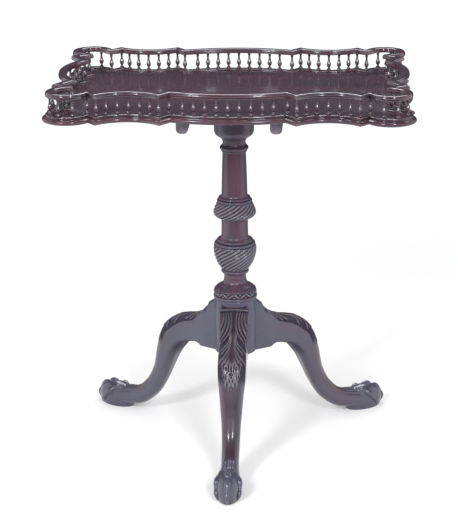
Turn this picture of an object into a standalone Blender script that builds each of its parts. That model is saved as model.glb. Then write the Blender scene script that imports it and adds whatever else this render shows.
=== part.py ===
"""Tilt-top tripod table: a cusped galleried top that tilts on a pillar with three claw-and-ball legs.

Metres, +Z up. The origin is on the pillar's axis at floor level, with the front leg towards -Y.
"""

import math

import bmesh
import bpy
from mathutils import Matrix, Vector

# Clearances
SEAT = 0.0003  # gap left between two pieces that seat on each other
RUN = 0.0003  # running clearance round the pintles and the catch bolt

RAIL_HEIGHT = 0.7349  # from the floor to the top of the handrail; the pillar's shaft takes up what is left

# Plan of the top, given on the handrail's outer edge in the quarter with +X and +Y. Each stretch starts
# where the one before it ends: run is along X, and rise and fall are along Y
BOW_HALF = 0.103  # half the long side's bow
BOW_END = 0.192  # distance of the bow's ends from the middle
BOW_RISE = 0.0195  # how far the bow swells past its ends
HOOK_RUN = 0.018  # short return from the bow's end to the inner cusp
HOOK_RISE = 0.024
FLANK_RUN = 0.113  # hollow flank between the inner and the outer cusp
FLANK_HOLLOW = 0.0240
NOTCH_RUN = 0.016  # short return from the outer cusp to the corner lobe
NOTCH_FALL = 0.021
LOBE_RUN = 0.049  # corner lobe, from its first end to its last
LOBE_FALL = 0.051
LOBE_RISE = 0.0570  # how far the lobe swells past the line between its ends
SIDE_HOOK_RUN = 0.024  # short return from the corner lobe to the short side's cusp
SIDE_HOOK_FALL = 0.014
RISER_RUN = 0.0225  # straight run from that cusp in to the short side's bow
RISER_FALL = 0.041
SIDE_BOW_RISE = 0.0270

# Gallery
RAIL_WIDTH = 0.0150
RAIL_THICK = 0.0092
RAIL_ROUND = 0.0034  # rounding of the rail's upper edges
RAIL_UNDERCUT = 0.0010  # how far the rail's underside is drawn in
STRIP_LIP = 0.0010  # how far the base strip runs past the rail on each side
STRIP_THICK = 0.0040
BALUSTER_HEIGHT = 0.0310
BALUSTER_TENON = 0.0010  # how far a baluster is let into the base strip
BALUSTER_FOOT_RADIUS = 0.0040
BALUSTER_WAIST_RADIUS = 0.0021
BALUSTER_BULB_RADIUS = 0.0045
BALUSTER_NECK_RADIUS = 0.0021
BALUSTER_HEAD_RADIUS = 0.0034
BALUSTER_SIDES = 6
BOW_BALUSTERS = 9  # between the bow's two ends
FLANK_BALUSTERS = 5  # between two cusps
LOBE_BALUSTERS = 4  # between a lobe's two notches
SIDE_BALUSTERS = 7  # between the side bow's two ends

# Top board
BOARD_THICK = 0.0115
BOARD_REBATE = 0.0020  # depth of the rebate that the gallery stands in
NOSE_OUT = 0.0072  # how far the moulded nose stands past the rail
NOSE_FOOT_OUT = 0.0030  # the moulding's lower edge
FILLET_OUT = 0.0022  # the small step above the nose

# Bearers and pivot block
BEARER_WIDTH = 0.0220
BEARER_DEPTH = 0.0270
BEARER_HALF = 0.1700  # half the bearer's length
BEARER_ROUND = 0.0060  # rounding of the lower edges
BEARER_GAP = 0.0005  # between the block's end and the bearer
BLOCK_WIDTH = 0.1460
BLOCK_DEPTH = 0.1500
BLOCK_THICK = 0.0300
BLOCK_CHAMFER = 0.0030
PINTLE_RADIUS = 0.0060
TENON_RADIUS = 0.0170
WEDGE_WIDTH = 0.0280
WEDGE_HEAD = 0.0032
WEDGE_TOE = 0.0012
WEDGE_LENGTH = 0.0200

# Pillar, from the drum upwards
DRUM_FOOT = 0.1780  # height of the drum's underside above the floor
DRUM_HEIGHT = 0.1100
LISTEL_HEIGHT = 0.0060
BAND_HEIGHT = 0.0090
SHOULDER_HEIGHT = 0.0160
LOWER_NECK_HEIGHT = 0.0180
RING_HEIGHT = 0.0080
VASE_HEIGHT = 0.0500
VASE_COLLAR_HEIGHT = 0.0120
MIDDLE_NECK_HEIGHT = 0.0390
SWELL_HEIGHT = 0.0320
SWELL_COLLAR_HEIGHT = 0.0130
ASTRAGAL_HEIGHT = 0.0100
NECKING_HEIGHT = 0.0130
ECHINUS_HEIGHT = 0.0200
ABACUS_HEIGHT = 0.0260
DRUM_RADIUS = 0.0408
LISTEL_RADIUS = 0.0424
BAND_RADIUS = 0.0404
LOWER_NECK_RADIUS = 0.0214
RING_RADIUS = 0.0270
VASE_FOOT_RADIUS = 0.0262
VASE_RADIUS = 0.0416
VASE_COLLAR_RADIUS = 0.0375
MIDDLE_NECK_RADIUS = 0.0256
SWELL_RADIUS = 0.0412
SWELL_TOP_RADIUS = 0.0335
SWELL_COLLAR_RADIUS = 0.0325
SHAFT_FOOT_RADIUS = 0.0248
SHAFT_TOP_RADIUS = 0.0222
ASTRAGAL_RADIUS = 0.0274
NECKING_RADIUS = 0.0213
ABACUS_RADIUS = 0.0380
PILLAR_SIDES = 24  # a multiple of twelve, so that all three legs meet the same facets
GADROONS = 16  # spiral ridges round each swelling
GADROON_DEPTH = 0.0024
GADROON_TURN = 75.0  # degrees that a ridge winds over its swelling

# Legs, in the plane of one leg: a section's crest is given by its reach from the pillar's axis and its
# height, and its belly by the section's depth and the lean of that depth from upright, in degrees
LEG_WIDTH = 0.0530
LEG_HEAD_DEPTH = 0.1020  # depth of the leg where it meets the drum
LEG_HEAD_FALL = 0.0225  # fall of the crest over the head's length
LEG_HEAD_LENGTH = 0.0230
LEG_SUNK = 0.0030  # how far the leg is drawn past the drum's face before it is scribed to fit
BRACKET_REACH = 0.0795
BRACKET_RISE = 0.0672  # above the drum's foot
BRACKET_ARCH = 0.0042  # rise of the underside past the bracket at the drum
BRACKET_LEAN = 5.4
HIP_REACH = 0.0961
HIP_RISE = 0.0567  # above the drum's foot
HIP_ARCH = 0.0055  # rise of the arch under the hip
HIP_LEAN = 13.5
SHOULDER_REACH = 0.1373
SHOULDER_RISE = 0.0448  # above the drum's foot
SHOULDER_DEPTH = 0.0546
SHOULDER_LEAN = 30.0
KNEE_REACH = 0.1659
KNEE_HEIGHT = 0.1993
KNEE_DEPTH = 0.0571
KNEE_LEAN = 47.2
CALF_REACH = 0.1822
CALF_HEIGHT = 0.1529
CALF_DEPTH = 0.0460
CALF_LEAN = 71.8
CALF_WIDTH = 0.0460
SHIN_REACH = 0.1878
SHIN_HEIGHT = 0.1217
SHIN_DEPTH = 0.0376
SHIN_LEAN = 67.8
SHIN_WIDTH = 0.0410
SHANK_REACH = 0.1948
SHANK_HEIGHT = 0.1054
SHANK_DEPTH = 0.0382
SHANK_LEAN = 51.3
SHANK_WIDTH = 0.0370
FOOT_REACH = 0.2930  # the foot's centre
ANKLE_BACK = 0.0820  # behind the foot's centre
ANKLE_HEIGHT = 0.0754
ANKLE_DEPTH = 0.0385
ANKLE_LEAN = 36.7
ANKLE_WIDTH = 0.0340
INSTEP_BACK = 0.0540
INSTEP_HEIGHT = 0.0535
INSTEP_DEPTH = 0.0406
INSTEP_LEAN = 26.5
INSTEP_WIDTH = 0.0310
HEEL_BACK = 0.0290
HEEL_HEIGHT = 0.0490
HEEL_DEPTH = 0.0420
HEEL_LEAN = 15.9
BALL_LENGTH = 0.0840
BALL_WIDTH = 0.0460
BALL_HEIGHT = 0.0660
BALL_SUNK = 0.0170  # how much of the ball is planed off to stand flat
TOE_RADIUS = 0.0058
TOE_SWELLS = (0.80, 1.05, 0.80, 1.05, 0.80, 0.90, 0.50)  # shares of the radius: root, knuckles and talon
TOE_STANDS = (-0.0070, -0.0042, -0.0050, -0.0036, -0.0010, 0.0030, 0.0)  # off the ball, at the same places
SIDE_TOE_STAND = 0.4  # how much of that a side toe stands off
TOE_CLIMBS = (115.0, 80.0, 62.0, 44.0, 20.0, -2.0, -26.0)  # degrees up the ball, from root to tip
SIDE_TOE_CLIMBS = (34.0, 46.0, 38.0, 26.0, 12.0, -4.0, -22.0)
SIDE_TOE_TURNS = (158.0, 118.0, 98.0, 82.0, 72.0, 62.0, 52.0)  # degrees round the ball from the middle toe
DOVETAIL_DEPTH = 0.0130
DOVETAIL_NECK = 0.0150
DOVETAIL_TAIL = 0.0220
DOVETAIL_HEIGHT = 0.0700

# Iron strap
STRAP_THICK = 0.0025
STRAP_WIDTH = 0.0160
STRAP_REACH = 0.0640
STRAP_SCREW_REACH = 0.0560

# Brass catch
PLATE_WIDTH = 0.0460
PLATE_LENGTH = 0.0540
PLATE_THICK = 0.0020
CASE_WIDTH = 0.0220
CASE_HEIGHT = 0.0130
CASE_LENGTH = 0.0460
CASE_WALL = 0.0030
CATCH_STANDOFF = 0.0050  # between the block's edge and the catch case
BOLT_WIDTH = 0.0120
BOLT_THICK = 0.0060
BOLT_LENGTH = 0.0400
BOLT_BEVEL = 0.0020
BOLT_SET = 0.0005  # how far the drawn bolt's nose lies inside the case
BOLT_THROW = 0.0060  # how far the thrown bolt enters the block
KNOB_BACK = 0.0190  # the knob's distance behind the bolt's nose
KNOB_RADIUS = 0.0048
KNOB_STEM_RADIUS = 0.0018
KNOB_DROP = 0.0120  # from the bolt's underside to the knob's middle
LEAF_LENGTH = 0.0240  # bowed leaf that presses on the bolt
LEAF_WIDTH = 0.0080
LEAF_THICK = 0.0005
LEAF_BOW = 0.0011
KEEPER_WIDTH = 0.0340
KEEPER_HEIGHT = 0.0140
KEEPER_THICK = 0.0020
POCKET_CLEAR = 0.0010  # room round the bolt's nose in the keeper and the block

# Screws
SCREW_RADIUS = 0.0016
SCREW_HEAD_RADIUS = 0.0036
SCREW_HEAD_DEPTH = 0.0022
SCREW_SIDES = 8
BEARER_SCREW_Y = 0.1200
BEARER_SCREW_BITE = 0.0070  # how far a bearer screw enters the top
STRAP_SCREW_LENGTH = 0.0200
CATCH_SCREW_LENGTH = 0.0085
KEEPER_SCREW_LENGTH = 0.0120

# Worked out from the sizes above
RAIL_FOOT = RAIL_HEIGHT - RAIL_THICK
STRIP_TOP = RAIL_FOOT - SEAT - BALUSTER_HEIGHT
STRIP_FOOT = STRIP_TOP - STRIP_THICK
BOARD_TOP = STRIP_FOOT - SEAT + BOARD_REBATE
BOARD_FOOT = BOARD_TOP - BOARD_THICK
BLOCK_TOP = BOARD_FOOT - SEAT
BLOCK_FOOT = BLOCK_TOP - BLOCK_THICK
PILLAR_TOP = BLOCK_FOOT - SEAT
VASE_FOOT = DRUM_FOOT + sum((
    DRUM_HEIGHT, LISTEL_HEIGHT, BAND_HEIGHT, SHOULDER_HEIGHT, LOWER_NECK_HEIGHT, RING_HEIGHT,
))
SWELL_FOOT = VASE_FOOT + VASE_HEIGHT + VASE_COLLAR_HEIGHT + MIDDLE_NECK_HEIGHT
SHAFT_FOOT = SWELL_FOOT + SWELL_HEIGHT + SWELL_COLLAR_HEIGHT
SHAFT_TOP = PILLAR_TOP - ABACUS_HEIGHT - ECHINUS_HEIGHT - NECKING_HEIGHT - ASTRAGAL_HEIGHT
PIVOT_Y = (BLOCK_DEPTH - BLOCK_THICK) / 2
PIVOT_Z = BLOCK_FOOT + BLOCK_THICK / 2
BEARER_X = BLOCK_WIDTH / 2 + BEARER_GAP + BEARER_WIDTH / 2
BEARER_TOP = BOARD_FOOT - SEAT
BEARER_FOOT = BEARER_TOP - BEARER_DEPTH
CATCH_TOP = BOARD_FOOT - SEAT
CASE_FOOT = CATCH_TOP - PLATE_THICK - CASE_HEIGHT
BOLT_Z = CATCH_TOP - PLATE_THICK - CASE_HEIGHT / 2
BLOCK_FRONT = -BLOCK_DEPTH / 2
CASE_FRONT = BLOCK_FRONT - CATCH_STANDOFF
BOLT_NOSE = CASE_FRONT - BOLT_SET
BOLT_TRAVEL = BOLT_SET + CATCH_STANDOFF + BOLT_THROW
CATCH_SCREW_X = (CASE_WIDTH + PLATE_WIDTH) / 4
KEEPER_SCREW_X = (BOLT_WIDTH / 2 + POCKET_CLEAR + KEEPER_WIDTH / 2) / 2
LEG_TURNS = {"front": -90.0, "back_right": 30.0, "back_left": 150.0}

MAHOGANY = ((0.075, 0.026, 0.024), 0.30, 0.0)
IRON = ((0.060, 0.055, 0.052), 0.60, 1.0)
BRASS = ((0.520, 0.360, 0.130), 0.35, 1.0)


# Scene helpers

def clear_scene():
    for thing in list(bpy.data.objects):
        bpy.data.objects.remove(thing, do_unlink=True)


def new_collection(name):
    made = bpy.data.collections.new(name)
    bpy.context.scene.collection.children.link(made)
    return made


def finish_material(name, finish):
    colour, roughness, metallic = finish
    made = bpy.data.materials.new(name)
    made.use_nodes = True
    shader = made.node_tree.nodes["Principled BSDF"]
    shader.inputs["Base Color"].default_value = (*colour, 1.0)
    shader.inputs["Roughness"].default_value = roughness
    shader.inputs["Metallic"].default_value = metallic
    return made


def add_part(name, mesh, finish, pivot=None):
    """A finished piece, riding on the empty at its joint's axis if it moves."""
    made = bpy.data.objects.new(name, mesh)
    parts.objects.link(made)
    mesh.materials.clear()
    mesh.materials.append(finish_material(name, finish))
    mesh.shade_smooth()
    mesh.set_sharp_from_angle(angle=math.radians(35))
    if pivot:
        made.parent = pivot
        made.matrix_parent_inverse = pivot.matrix_world.inverted()
    return made


def add_cutter(name, mesh):
    made = bpy.data.objects.new(name, mesh)
    cutters.objects.link(made)
    made.hide_render = True
    made.display_type = "WIRE"
    return made


def combine(piece, other, operation):
    step = piece.modifiers.new(operation.lower(), "BOOLEAN")
    step.operation = operation
    step.object = other
    step.solver = "EXACT"


def baked(piece):
    """The piece as its modifiers leave it, as a plain mesh; the piece itself is removed."""
    bpy.context.view_layer.update()
    graph = bpy.context.evaluated_depsgraph_get()
    mesh = bpy.data.meshes.new_from_object(piece.evaluated_get(graph))
    bpy.data.objects.remove(piece, do_unlink=True)
    return mesh


# Shape helpers

def loft(name, rings, closed=False):
    """A skin through rings of equally many points, capped at both ends unless it closes on itself."""
    shape = bmesh.new()
    loops = [[shape.verts.new(point) for point in ring] for ring in rings]
    pairs = list(zip(loops, loops[1:] + loops[:1])) if closed else list(zip(loops, loops[1:]))
    for lower, upper in pairs:
        for k in range(len(lower)):
            after = (k + 1) % len(lower)
            shape.faces.new((lower[k], lower[after], upper[after], upper[k]))
    if not closed:
        shape.faces.new(loops[0])
        shape.faces.new(loops[-1])
    bmesh.ops.recalc_face_normals(shape, faces=shape.faces)
    mesh = bpy.data.meshes.new(name)
    shape.to_mesh(mesh)
    shape.free()
    return mesh


def box(name, low, high):
    size = Vector(high) - Vector(low)
    middle = (Vector(high) + Vector(low)) / 2
    shape = bmesh.new()
    place = Matrix.Translation(middle) @ Matrix.Diagonal((*size, 1.0))
    bmesh.ops.create_cube(shape, size=1.0, matrix=place)
    mesh = bpy.data.meshes.new(name)
    shape.to_mesh(mesh)
    shape.free()
    return mesh


def turned(name, profile, sides):
    """A turned shape from (radius, height) points that run from the top down; returns its mesh."""
    mesh = bpy.data.meshes.new(name)
    points = [(radius, 0.0, height) for radius, height in profile]
    mesh.from_pydata(points, [(k, k + 1) for k in range(len(points) - 1)], [])
    piece = bpy.data.objects.new(name, mesh)
    cutters.objects.link(piece)
    spin = piece.modifiers.new("turning", "SCREW")
    spin.axis = "Z"
    spin.steps = sides
    spin.render_steps = sides
    spin.use_merge_vertices = True
    spin.merge_threshold = 0.00001
    return baked(piece)


def moved(mesh, place):
    mesh.transform(place)
    return mesh


def along(direction):
    """The turn that takes +Z to a direction."""
    return Vector((0, 0, 1)).rotation_difference(Vector(direction)).to_matrix().to_4x4()


def joined(name, meshes):
    """Several separate bodies in one mesh, for use as one Boolean tool."""
    shape = bmesh.new()
    for mesh in meshes:
        shape.from_mesh(mesh)
        bpy.data.meshes.remove(mesh)
    mesh = bpy.data.meshes.new(name)
    shape.to_mesh(mesh)
    shape.free()
    return mesh


# Plan of the top: lines and arcs, offset by a distance outwards

MITRE_MOST = 1.2  # longest mitre on the outer side of a notch


def line(start, end):
    start, end = Vector(start), Vector(end)
    return {"start": start, "end": end, "way": (end - start).normalized()}


def arc(start, end, rise):
    """The arc between two points that swells by rise to the left of the way from one to the other."""
    start, end = Vector(start), Vector(end)
    chord = end - start
    left = Vector((-chord.y, chord.x)).normalized()
    radius = (chord.length_squared / 4 + rise * rise) / (2 * abs(rise))
    side = 1 if rise > 0 else -1
    centre = (start + end) / 2 + left * (rise - side * radius)
    return {"start": start, "end": end, "centre": centre, "radius": radius, "side": side}


def is_arc(stretch):
    return "centre" in stretch


def heading(stretch, point):
    """Direction of travel at a point on the stretch."""
    if not is_arc(stretch):
        return stretch["way"]
    out = (point - stretch["centre"]).normalized() * stretch["side"]
    return Vector((out.y, -out.x))


def place_of(stretch, point):
    """Where a point lies along a stretch: a length on a line, an angle on an arc."""
    if not is_arc(stretch):
        return (point - stretch["start"]).dot(stretch["way"])
    start = stretch["start"] - stretch["centre"]
    spoke = point - stretch["centre"]
    turn = -stretch["side"] * (math.atan2(spoke.y, spoke.x) - math.atan2(start.y, start.x))
    turn = turn % (2 * math.pi)
    return turn - 2 * math.pi if turn > 1.75 * math.pi else turn


def point_at(stretch, place, out):
    """The point at a place along the stretch, moved outwards by out."""
    if not is_arc(stretch):
        way = stretch["way"]
        return stretch["start"] + way * place + Vector((-way.y, way.x)) * out
    start = stretch["start"] - stretch["centre"]
    angle = math.atan2(start.y, start.x) - stretch["side"] * place
    radius = stretch["radius"] + stretch["side"] * out
    return stretch["centre"] + Vector((math.cos(angle), math.sin(angle))) * radius


def crossing(first, second, out, guess):
    """Where two neighbouring stretches, both moved outwards, cross nearest to a guess."""
    if is_arc(first):
        first, second = second, first
    start = point_at(first, 0.0, out)
    way = first["way"]
    if not is_arc(second):
        other = point_at(second, 0.0, out)
        across = Vector((-second["way"].y, second["way"].x))
        return start + way * ((other - start).dot(across) / way.dot(across))
    radius = second["radius"] + second["side"] * out
    foot = (second["centre"] - start).dot(way)
    height = (start + way * foot - second["centre"]).length
    half = math.sqrt(max(radius * radius - height * height, 0.0))
    return min((start + way * (foot + s * half) for s in (-1, 1)), key=lambda p: (p - guess).length)


def corner(first, second, out):
    """The corner between two stretches moved outwards, and whether they meet by crossing there."""
    point = first["end"]
    before, after = heading(first, point), heading(second, point)
    turn = before.x * after.y - before.y * after.x
    bisector = Vector((-before.y - after.y, before.x + after.x)).normalized()
    mitre = 1 / max(bisector.dot(Vector((-before.y, before.x))), 0.2)
    if turn * out > 0:
        return crossing(first, second, out, point + bisector * out * mitre), True
    if turn > 0:
        mitre = min(mitre, MITRE_MOST)
    return point + bisector * out * mitre, False


BOW_START = (-BOW_HALF, BOW_END)
BOW_FINISH = (BOW_HALF, BOW_END)
INNER_TIP = (BOW_HALF + HOOK_RUN, BOW_END + HOOK_RISE)
OUTER_TIP = (INNER_TIP[0] + FLANK_RUN, INNER_TIP[1])
NOTCH = (OUTER_TIP[0] + NOTCH_RUN, OUTER_TIP[1] - NOTCH_FALL)
SIDE_NOTCH = (NOTCH[0] + LOBE_RUN, NOTCH[1] - LOBE_FALL)
SIDE_TIP = (SIDE_NOTCH[0] + SIDE_HOOK_RUN, SIDE_NOTCH[1] - SIDE_HOOK_FALL)
SIDE_BOW_START = (SIDE_TIP[0] - RISER_RUN, SIDE_TIP[1] - RISER_FALL)
SIDE_BOW_FINISH = (SIDE_BOW_START[0], -SIDE_BOW_START[1])
PLAN = [
    arc(BOW_START, BOW_FINISH, BOW_RISE),
    line(BOW_FINISH, INNER_TIP),
    arc(INNER_TIP, OUTER_TIP, -FLANK_HOLLOW),
    line(OUTER_TIP, NOTCH),
    arc(NOTCH, SIDE_NOTCH, LOBE_RISE),
    line(SIDE_NOTCH, SIDE_TIP),
    line(SIDE_TIP, SIDE_BOW_START),
    arc(SIDE_BOW_START, SIDE_BOW_FINISH, SIDE_BOW_RISE),
]
BOW, HOOK, FLANK, OUTER_HOOK, LOBE, SIDE_HOOK, RISER, SIDE_BOW = range(len(PLAN))
STEPS = {  # straight steps that each stretch is drawn with, between the gallery's joints on it
    BOW: (5,), HOOK: (1,), FLANK: (2, 3, 2), OUTER_HOOK: (1,), LOBE: (10,),
    SIDE_HOOK: (1,), RISER: (1, 1), SIDE_BOW: (4,),
}


def span(index, out):
    """First and last place on a stretch of the plan once its corners are moved outwards."""
    stretch = PLAN[index]
    first, last = 0.0, place_of(stretch, stretch["end"])
    if index == BOW:
        first = last / 2
    if index == SIDE_BOW:
        last = last / 2
    if index > BOW:
        point, crosses = corner(PLAN[index - 1], stretch, out)
        first = place_of(stretch, point) if crosses else first
    if index < SIDE_BOW:
        point, crosses = corner(stretch, PLAN[index + 1], out)
        last = place_of(stretch, point) if crosses else last
    return first, last


def places(index, out):
    """Places of the drawn points on a stretch of the plan, once its corners are moved outwards."""
    low, high = span(index, out)
    stops = [low, *(place for on, place in JOINTS if on == index), high]
    found = [low]
    for begin, end, steps in zip(stops, stops[1:], STEPS[index]):
        found += [begin + (end - begin) * k / steps for k in range(1, steps + 1)]
    return found


def quarter(out, start=None, finish=None):
    """Points of the plan's quarter, moved outwards, between two (stretch, place) cuts if given."""
    first_index = start[0] if start else BOW
    last_index = finish[0] if finish else SIDE_BOW
    points = []
    for index in range(first_index, last_index + 1):
        found = places(index, out)
        if start and index == first_index:
            found = [start[1]] + [place for place in found if place > start[1] + CUT_CLOSE]
        if finish and index == last_index:
            found = [place for place in found if place < finish[1] - CUT_CLOSE] + [finish[1]]
        if points:
            points[-1] = corner(PLAN[index - 1], PLAN[index], out)[0]
            found = found[1:]
        points += [point_at(PLAN[index], place, out) for place in found]
    return points


def mirrored(points, sign_x, sign_y):
    return [Vector((p.x * sign_x, p.y * sign_y)) for p in points]


def outline(out):
    """The whole plan, moved outwards, as one loop."""
    part = quarter(out)
    back = part[::-1]
    return (
        part[:-1] + mirrored(back, 1, -1)[:-1] + mirrored(part, -1, -1)[:-1] + mirrored(back, -1, 1)[:-1]
    )


# Balusters stand on the middle of the rail: at each corner, and evenly between corners

MIDDLE = -RAIL_WIDTH / 2


def even_places(index, count):
    low, high = span(index, MIDDLE)
    return [low + (high - low) * k / (count + 1) for k in range(1, count + 1)]


FLANK_PLACES = even_places(FLANK, FLANK_BALUSTERS)
RISER_SPAN = span(RISER, MIDDLE)
RISER_PLACE = (RISER_SPAN[0] + RISER_SPAN[1]) / 2
FLANK_FIRST_JOINT = (FLANK, (FLANK_PLACES[0] + FLANK_PLACES[1]) / 2)
FLANK_LAST_JOINT = (FLANK, (FLANK_PLACES[-1] + FLANK_PLACES[-2]) / 2)
RISER_JOINT = (RISER, (RISER_PLACE + RISER_SPAN[1]) / 2)
JOINTS = (FLANK_FIRST_JOINT, FLANK_LAST_JOINT, RISER_JOINT)
CUT_CLOSE = 0.0001  # drawn points nearer than this to a cut are left out


def joint_side(joint, sign):
    """A joint's cut, moved half a seat along the plan so that neighbouring stretches keep clear."""
    index, place = joint
    half = sign * SEAT / 2
    return index, place + (half / PLAN[index]["radius"] if is_arc(PLAN[index]) else half)


def half_bow_spots():
    low, high = span(BOW, MIDDLE)
    each = 2 * (high - low) / (BOW_BALUSTERS + 1)
    places = [low + each * k for k in range((BOW_BALUSTERS + 1) // 2)]
    spots = [point_at(PLAN[BOW], place, MIDDLE) for place in places]
    spots += [corner(PLAN[k], PLAN[k + 1], MIDDLE)[0] for k in (BOW, HOOK)]
    return spots + [point_at(PLAN[FLANK], FLANK_PLACES[0], MIDDLE)]


def flank_spots():
    return [point_at(PLAN[FLANK], place, MIDDLE) for place in FLANK_PLACES[1:-1]]


def corner_spots():
    spots = [point_at(PLAN[FLANK], FLANK_PLACES[-1], MIDDLE)]
    spots += [corner(PLAN[k], PLAN[k + 1], MIDDLE)[0] for k in (FLANK, OUTER_HOOK)]
    spots += [point_at(PLAN[LOBE], place, MIDDLE) for place in even_places(LOBE, LOBE_BALUSTERS)]
    spots += [corner(PLAN[k], PLAN[k + 1], MIDDLE)[0] for k in (LOBE, SIDE_HOOK)]
    return spots + [point_at(PLAN[RISER], RISER_PLACE, MIDDLE)]


def half_side_spots():
    low, high = span(SIDE_BOW, MIDDLE)
    each = 2 * (high - low) / (SIDE_BALUSTERS + 1)
    places = [high - each * k for k in range((SIDE_BALUSTERS + 1) // 2)]
    spots = [point_at(PLAN[SIDE_BOW], place, MIDDLE) for place in places]
    return spots + [corner(PLAN[RISER], PLAN[SIDE_BOW], MIDDLE)[0]]


def bow_path(out):
    half = quarter(out, finish=joint_side(FLANK_FIRST_JOINT, -1))
    return mirrored(half[:0:-1], -1, 1) + half


def side_path(out):
    half = quarter(out, start=joint_side(RISER_JOINT, 1))
    return half + mirrored(half[-2::-1], 1, -1)


def flank_path(out):
    return quarter(out, joint_side(FLANK_FIRST_JOINT, 1), joint_side(FLANK_LAST_JOINT, -1))


def corner_path(out):
    return quarter(out, joint_side(FLANK_LAST_JOINT, 1), joint_side(RISER_JOINT, -1))


def both_sides(spots, sign_x, sign_y):
    """Spots of a half stretch and of its mirror image, with the one on the mirror line once."""
    return spots + mirrored(spots[1:], sign_x, sign_y)


STRETCHES = {
    "bow": (bow_path, both_sides(half_bow_spots(), -1, 1)),
    "flank": (flank_path, flank_spots()),
    "corner": (corner_path, corner_spots()),
    "side": (side_path, both_sides(half_side_spots(), 1, -1)),
}
GALLERY = {
    "front": ("bow", 1, -1),
    "back": ("bow", 1, 1),
    "left": ("side", -1, 1),
    "right": ("side", 1, 1),
    "front_left_flank": ("flank", -1, -1),
    "front_right_flank": ("flank", 1, -1),
    "back_left_flank": ("flank", -1, 1),
    "back_right_flank": ("flank", 1, 1),
    "front_left_corner": ("corner", -1, -1),
    "front_right_corner": ("corner", 1, -1),
    "back_left_corner": ("corner", -1, 1),
    "back_right_corner": ("corner", 1, 1),
}


# Top: board, gallery and bearers

def swept(name, path, profile, sign_x, sign_y):
    """A moulding of (out, height) points swept along a stretch of the plan."""
    sides = [(mirrored(path(out), sign_x, sign_y), height) for out, height in profile]
    rings = [
        [(points[k].x, points[k].y, height) for points, height in sides] for k in range(len(sides[0][0]))
    ]
    return loft(name, rings)


def rail_profile():
    inner = -RAIL_WIDTH
    return [
        (-RAIL_UNDERCUT, RAIL_FOOT),
        (0.0, RAIL_HEIGHT - RAIL_ROUND),
        (-RAIL_ROUND, RAIL_HEIGHT),
        (inner + RAIL_ROUND, RAIL_HEIGHT),
        (inner, RAIL_HEIGHT - RAIL_ROUND),
        (inner + RAIL_UNDERCUT, RAIL_FOOT),
    ]


def strip_profile():
    inner = -RAIL_WIDTH - STRIP_LIP
    return [(STRIP_LIP, STRIP_FOOT), (STRIP_LIP, STRIP_TOP), (inner, STRIP_TOP), (inner, STRIP_FOOT)]


def baluster_mesh():
    low, tall = STRIP_TOP - BALUSTER_TENON, BALUSTER_HEIGHT
    profile = [
        (0.0, STRIP_TOP + tall),
        (BALUSTER_HEAD_RADIUS, STRIP_TOP + tall),
        (BALUSTER_NECK_RADIUS, STRIP_TOP + tall * 0.76),
        (BALUSTER_BULB_RADIUS, STRIP_TOP + tall * 0.38),
        (BALUSTER_WAIST_RADIUS, STRIP_TOP + tall * 0.14),
        (BALUSTER_FOOT_RADIUS, low),
        (0.0, low),
    ]
    return turned("baluster", profile, BALUSTER_SIDES)


def build_gallery(pivot):
    baluster = baluster_mesh()
    for name, (kind, sign_x, sign_y) in GALLERY.items():
        path, spots = STRETCHES[kind]
        rail = swept("handrail_" + name, path, rail_profile(), sign_x, sign_y)
        add_part("handrail_" + name, rail, MAHOGANY, pivot)
        strip = swept("balustrade_" + name, path, strip_profile(), sign_x, sign_y)
        row = add_part("balustrade_" + name, strip, MAHOGANY, pivot)
        stand = [
            moved(baluster.copy(), Matrix.Translation((p.x, p.y, 0.0)))
            for p in mirrored(spots, sign_x, sign_y)
        ]
        combine(row, add_cutter("balusters_" + name, joined("balusters_" + name, stand)), "UNION")
    bpy.data.meshes.remove(baluster)


def build_board(pivot):
    field = -RAIL_WIDTH - STRIP_LIP - SEAT
    rebate = BOARD_TOP - BOARD_REBATE
    nose = (rebate - BOARD_FOOT) / 2
    profile = [
        (NOSE_FOOT_OUT, BOARD_FOOT),
        (NOSE_OUT, BOARD_FOOT + nose),
        (FILLET_OUT, rebate),
        (field, rebate),
        (field, BOARD_TOP),
    ]
    rings = [[(p.x, p.y, height) for p in outline(out)] for out, height in profile]
    board = add_part("top_board", loft("top_board", rings), MAHOGANY, pivot)
    return board


def build_bearers(board, pivot):
    half, low, high = BEARER_WIDTH / 2, BEARER_FOOT, BEARER_TOP
    section = [(-half, high), (half, high), (half, low + BEARER_ROUND)]
    section += [(half - BEARER_ROUND, low), (BEARER_ROUND - half, low), (-half, low + BEARER_ROUND)]
    length = BEARER_DEPTH + BEARER_SCREW_BITE
    for side, sign in (("left", -1), ("right", 1)):
        x = sign * BEARER_X
        rings = [[(x + across, y, z) for across, z in section] for y in (-BEARER_HALF, BEARER_HALF)]
        bearer = add_part("bearer_" + side, loft("bearer_" + side, rings), MAHOGANY, pivot)
        reach = BEARER_WIDTH / 2 + BEARER_GAP
        hole = rod("pintle_hole", PINTLE_RADIUS + RUN, (x - reach, PIVOT_Y, PIVOT_Z), (1, 0, 0), 2 * reach)
        combine(bearer, add_cutter("pintle_hole_" + side, hole), "DIFFERENCE")
        for end, y in (("front", -BEARER_SCREW_Y), ("back", BEARER_SCREW_Y)):
            name = "bearer_screw_" + side + "_" + end
            add_screw(name, (x, y, BEARER_FOOT), (0, 0, 1), length, BRASS, (bearer, board), pivot)


# Round stock and screws

def rod(name, radius, start, direction, length):
    profile = [(0.0, length), (radius, length), (radius, 0.0), (0.0, 0.0)]
    return moved(turned(name, profile, 12), Matrix.Translation(start) @ along(direction))


def screw_profile(length, spare):
    """A countersunk screw from its point down to its head, grown by a clearance for its hole."""
    return [
        (0.0, length + spare),
        (SCREW_RADIUS + spare, length + spare),
        (SCREW_RADIUS + spare, SCREW_HEAD_DEPTH),
        (SCREW_HEAD_RADIUS + spare, 0.0),
        (SCREW_HEAD_RADIUS + spare, -spare),
        (0.0, -spare),
    ]


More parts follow.
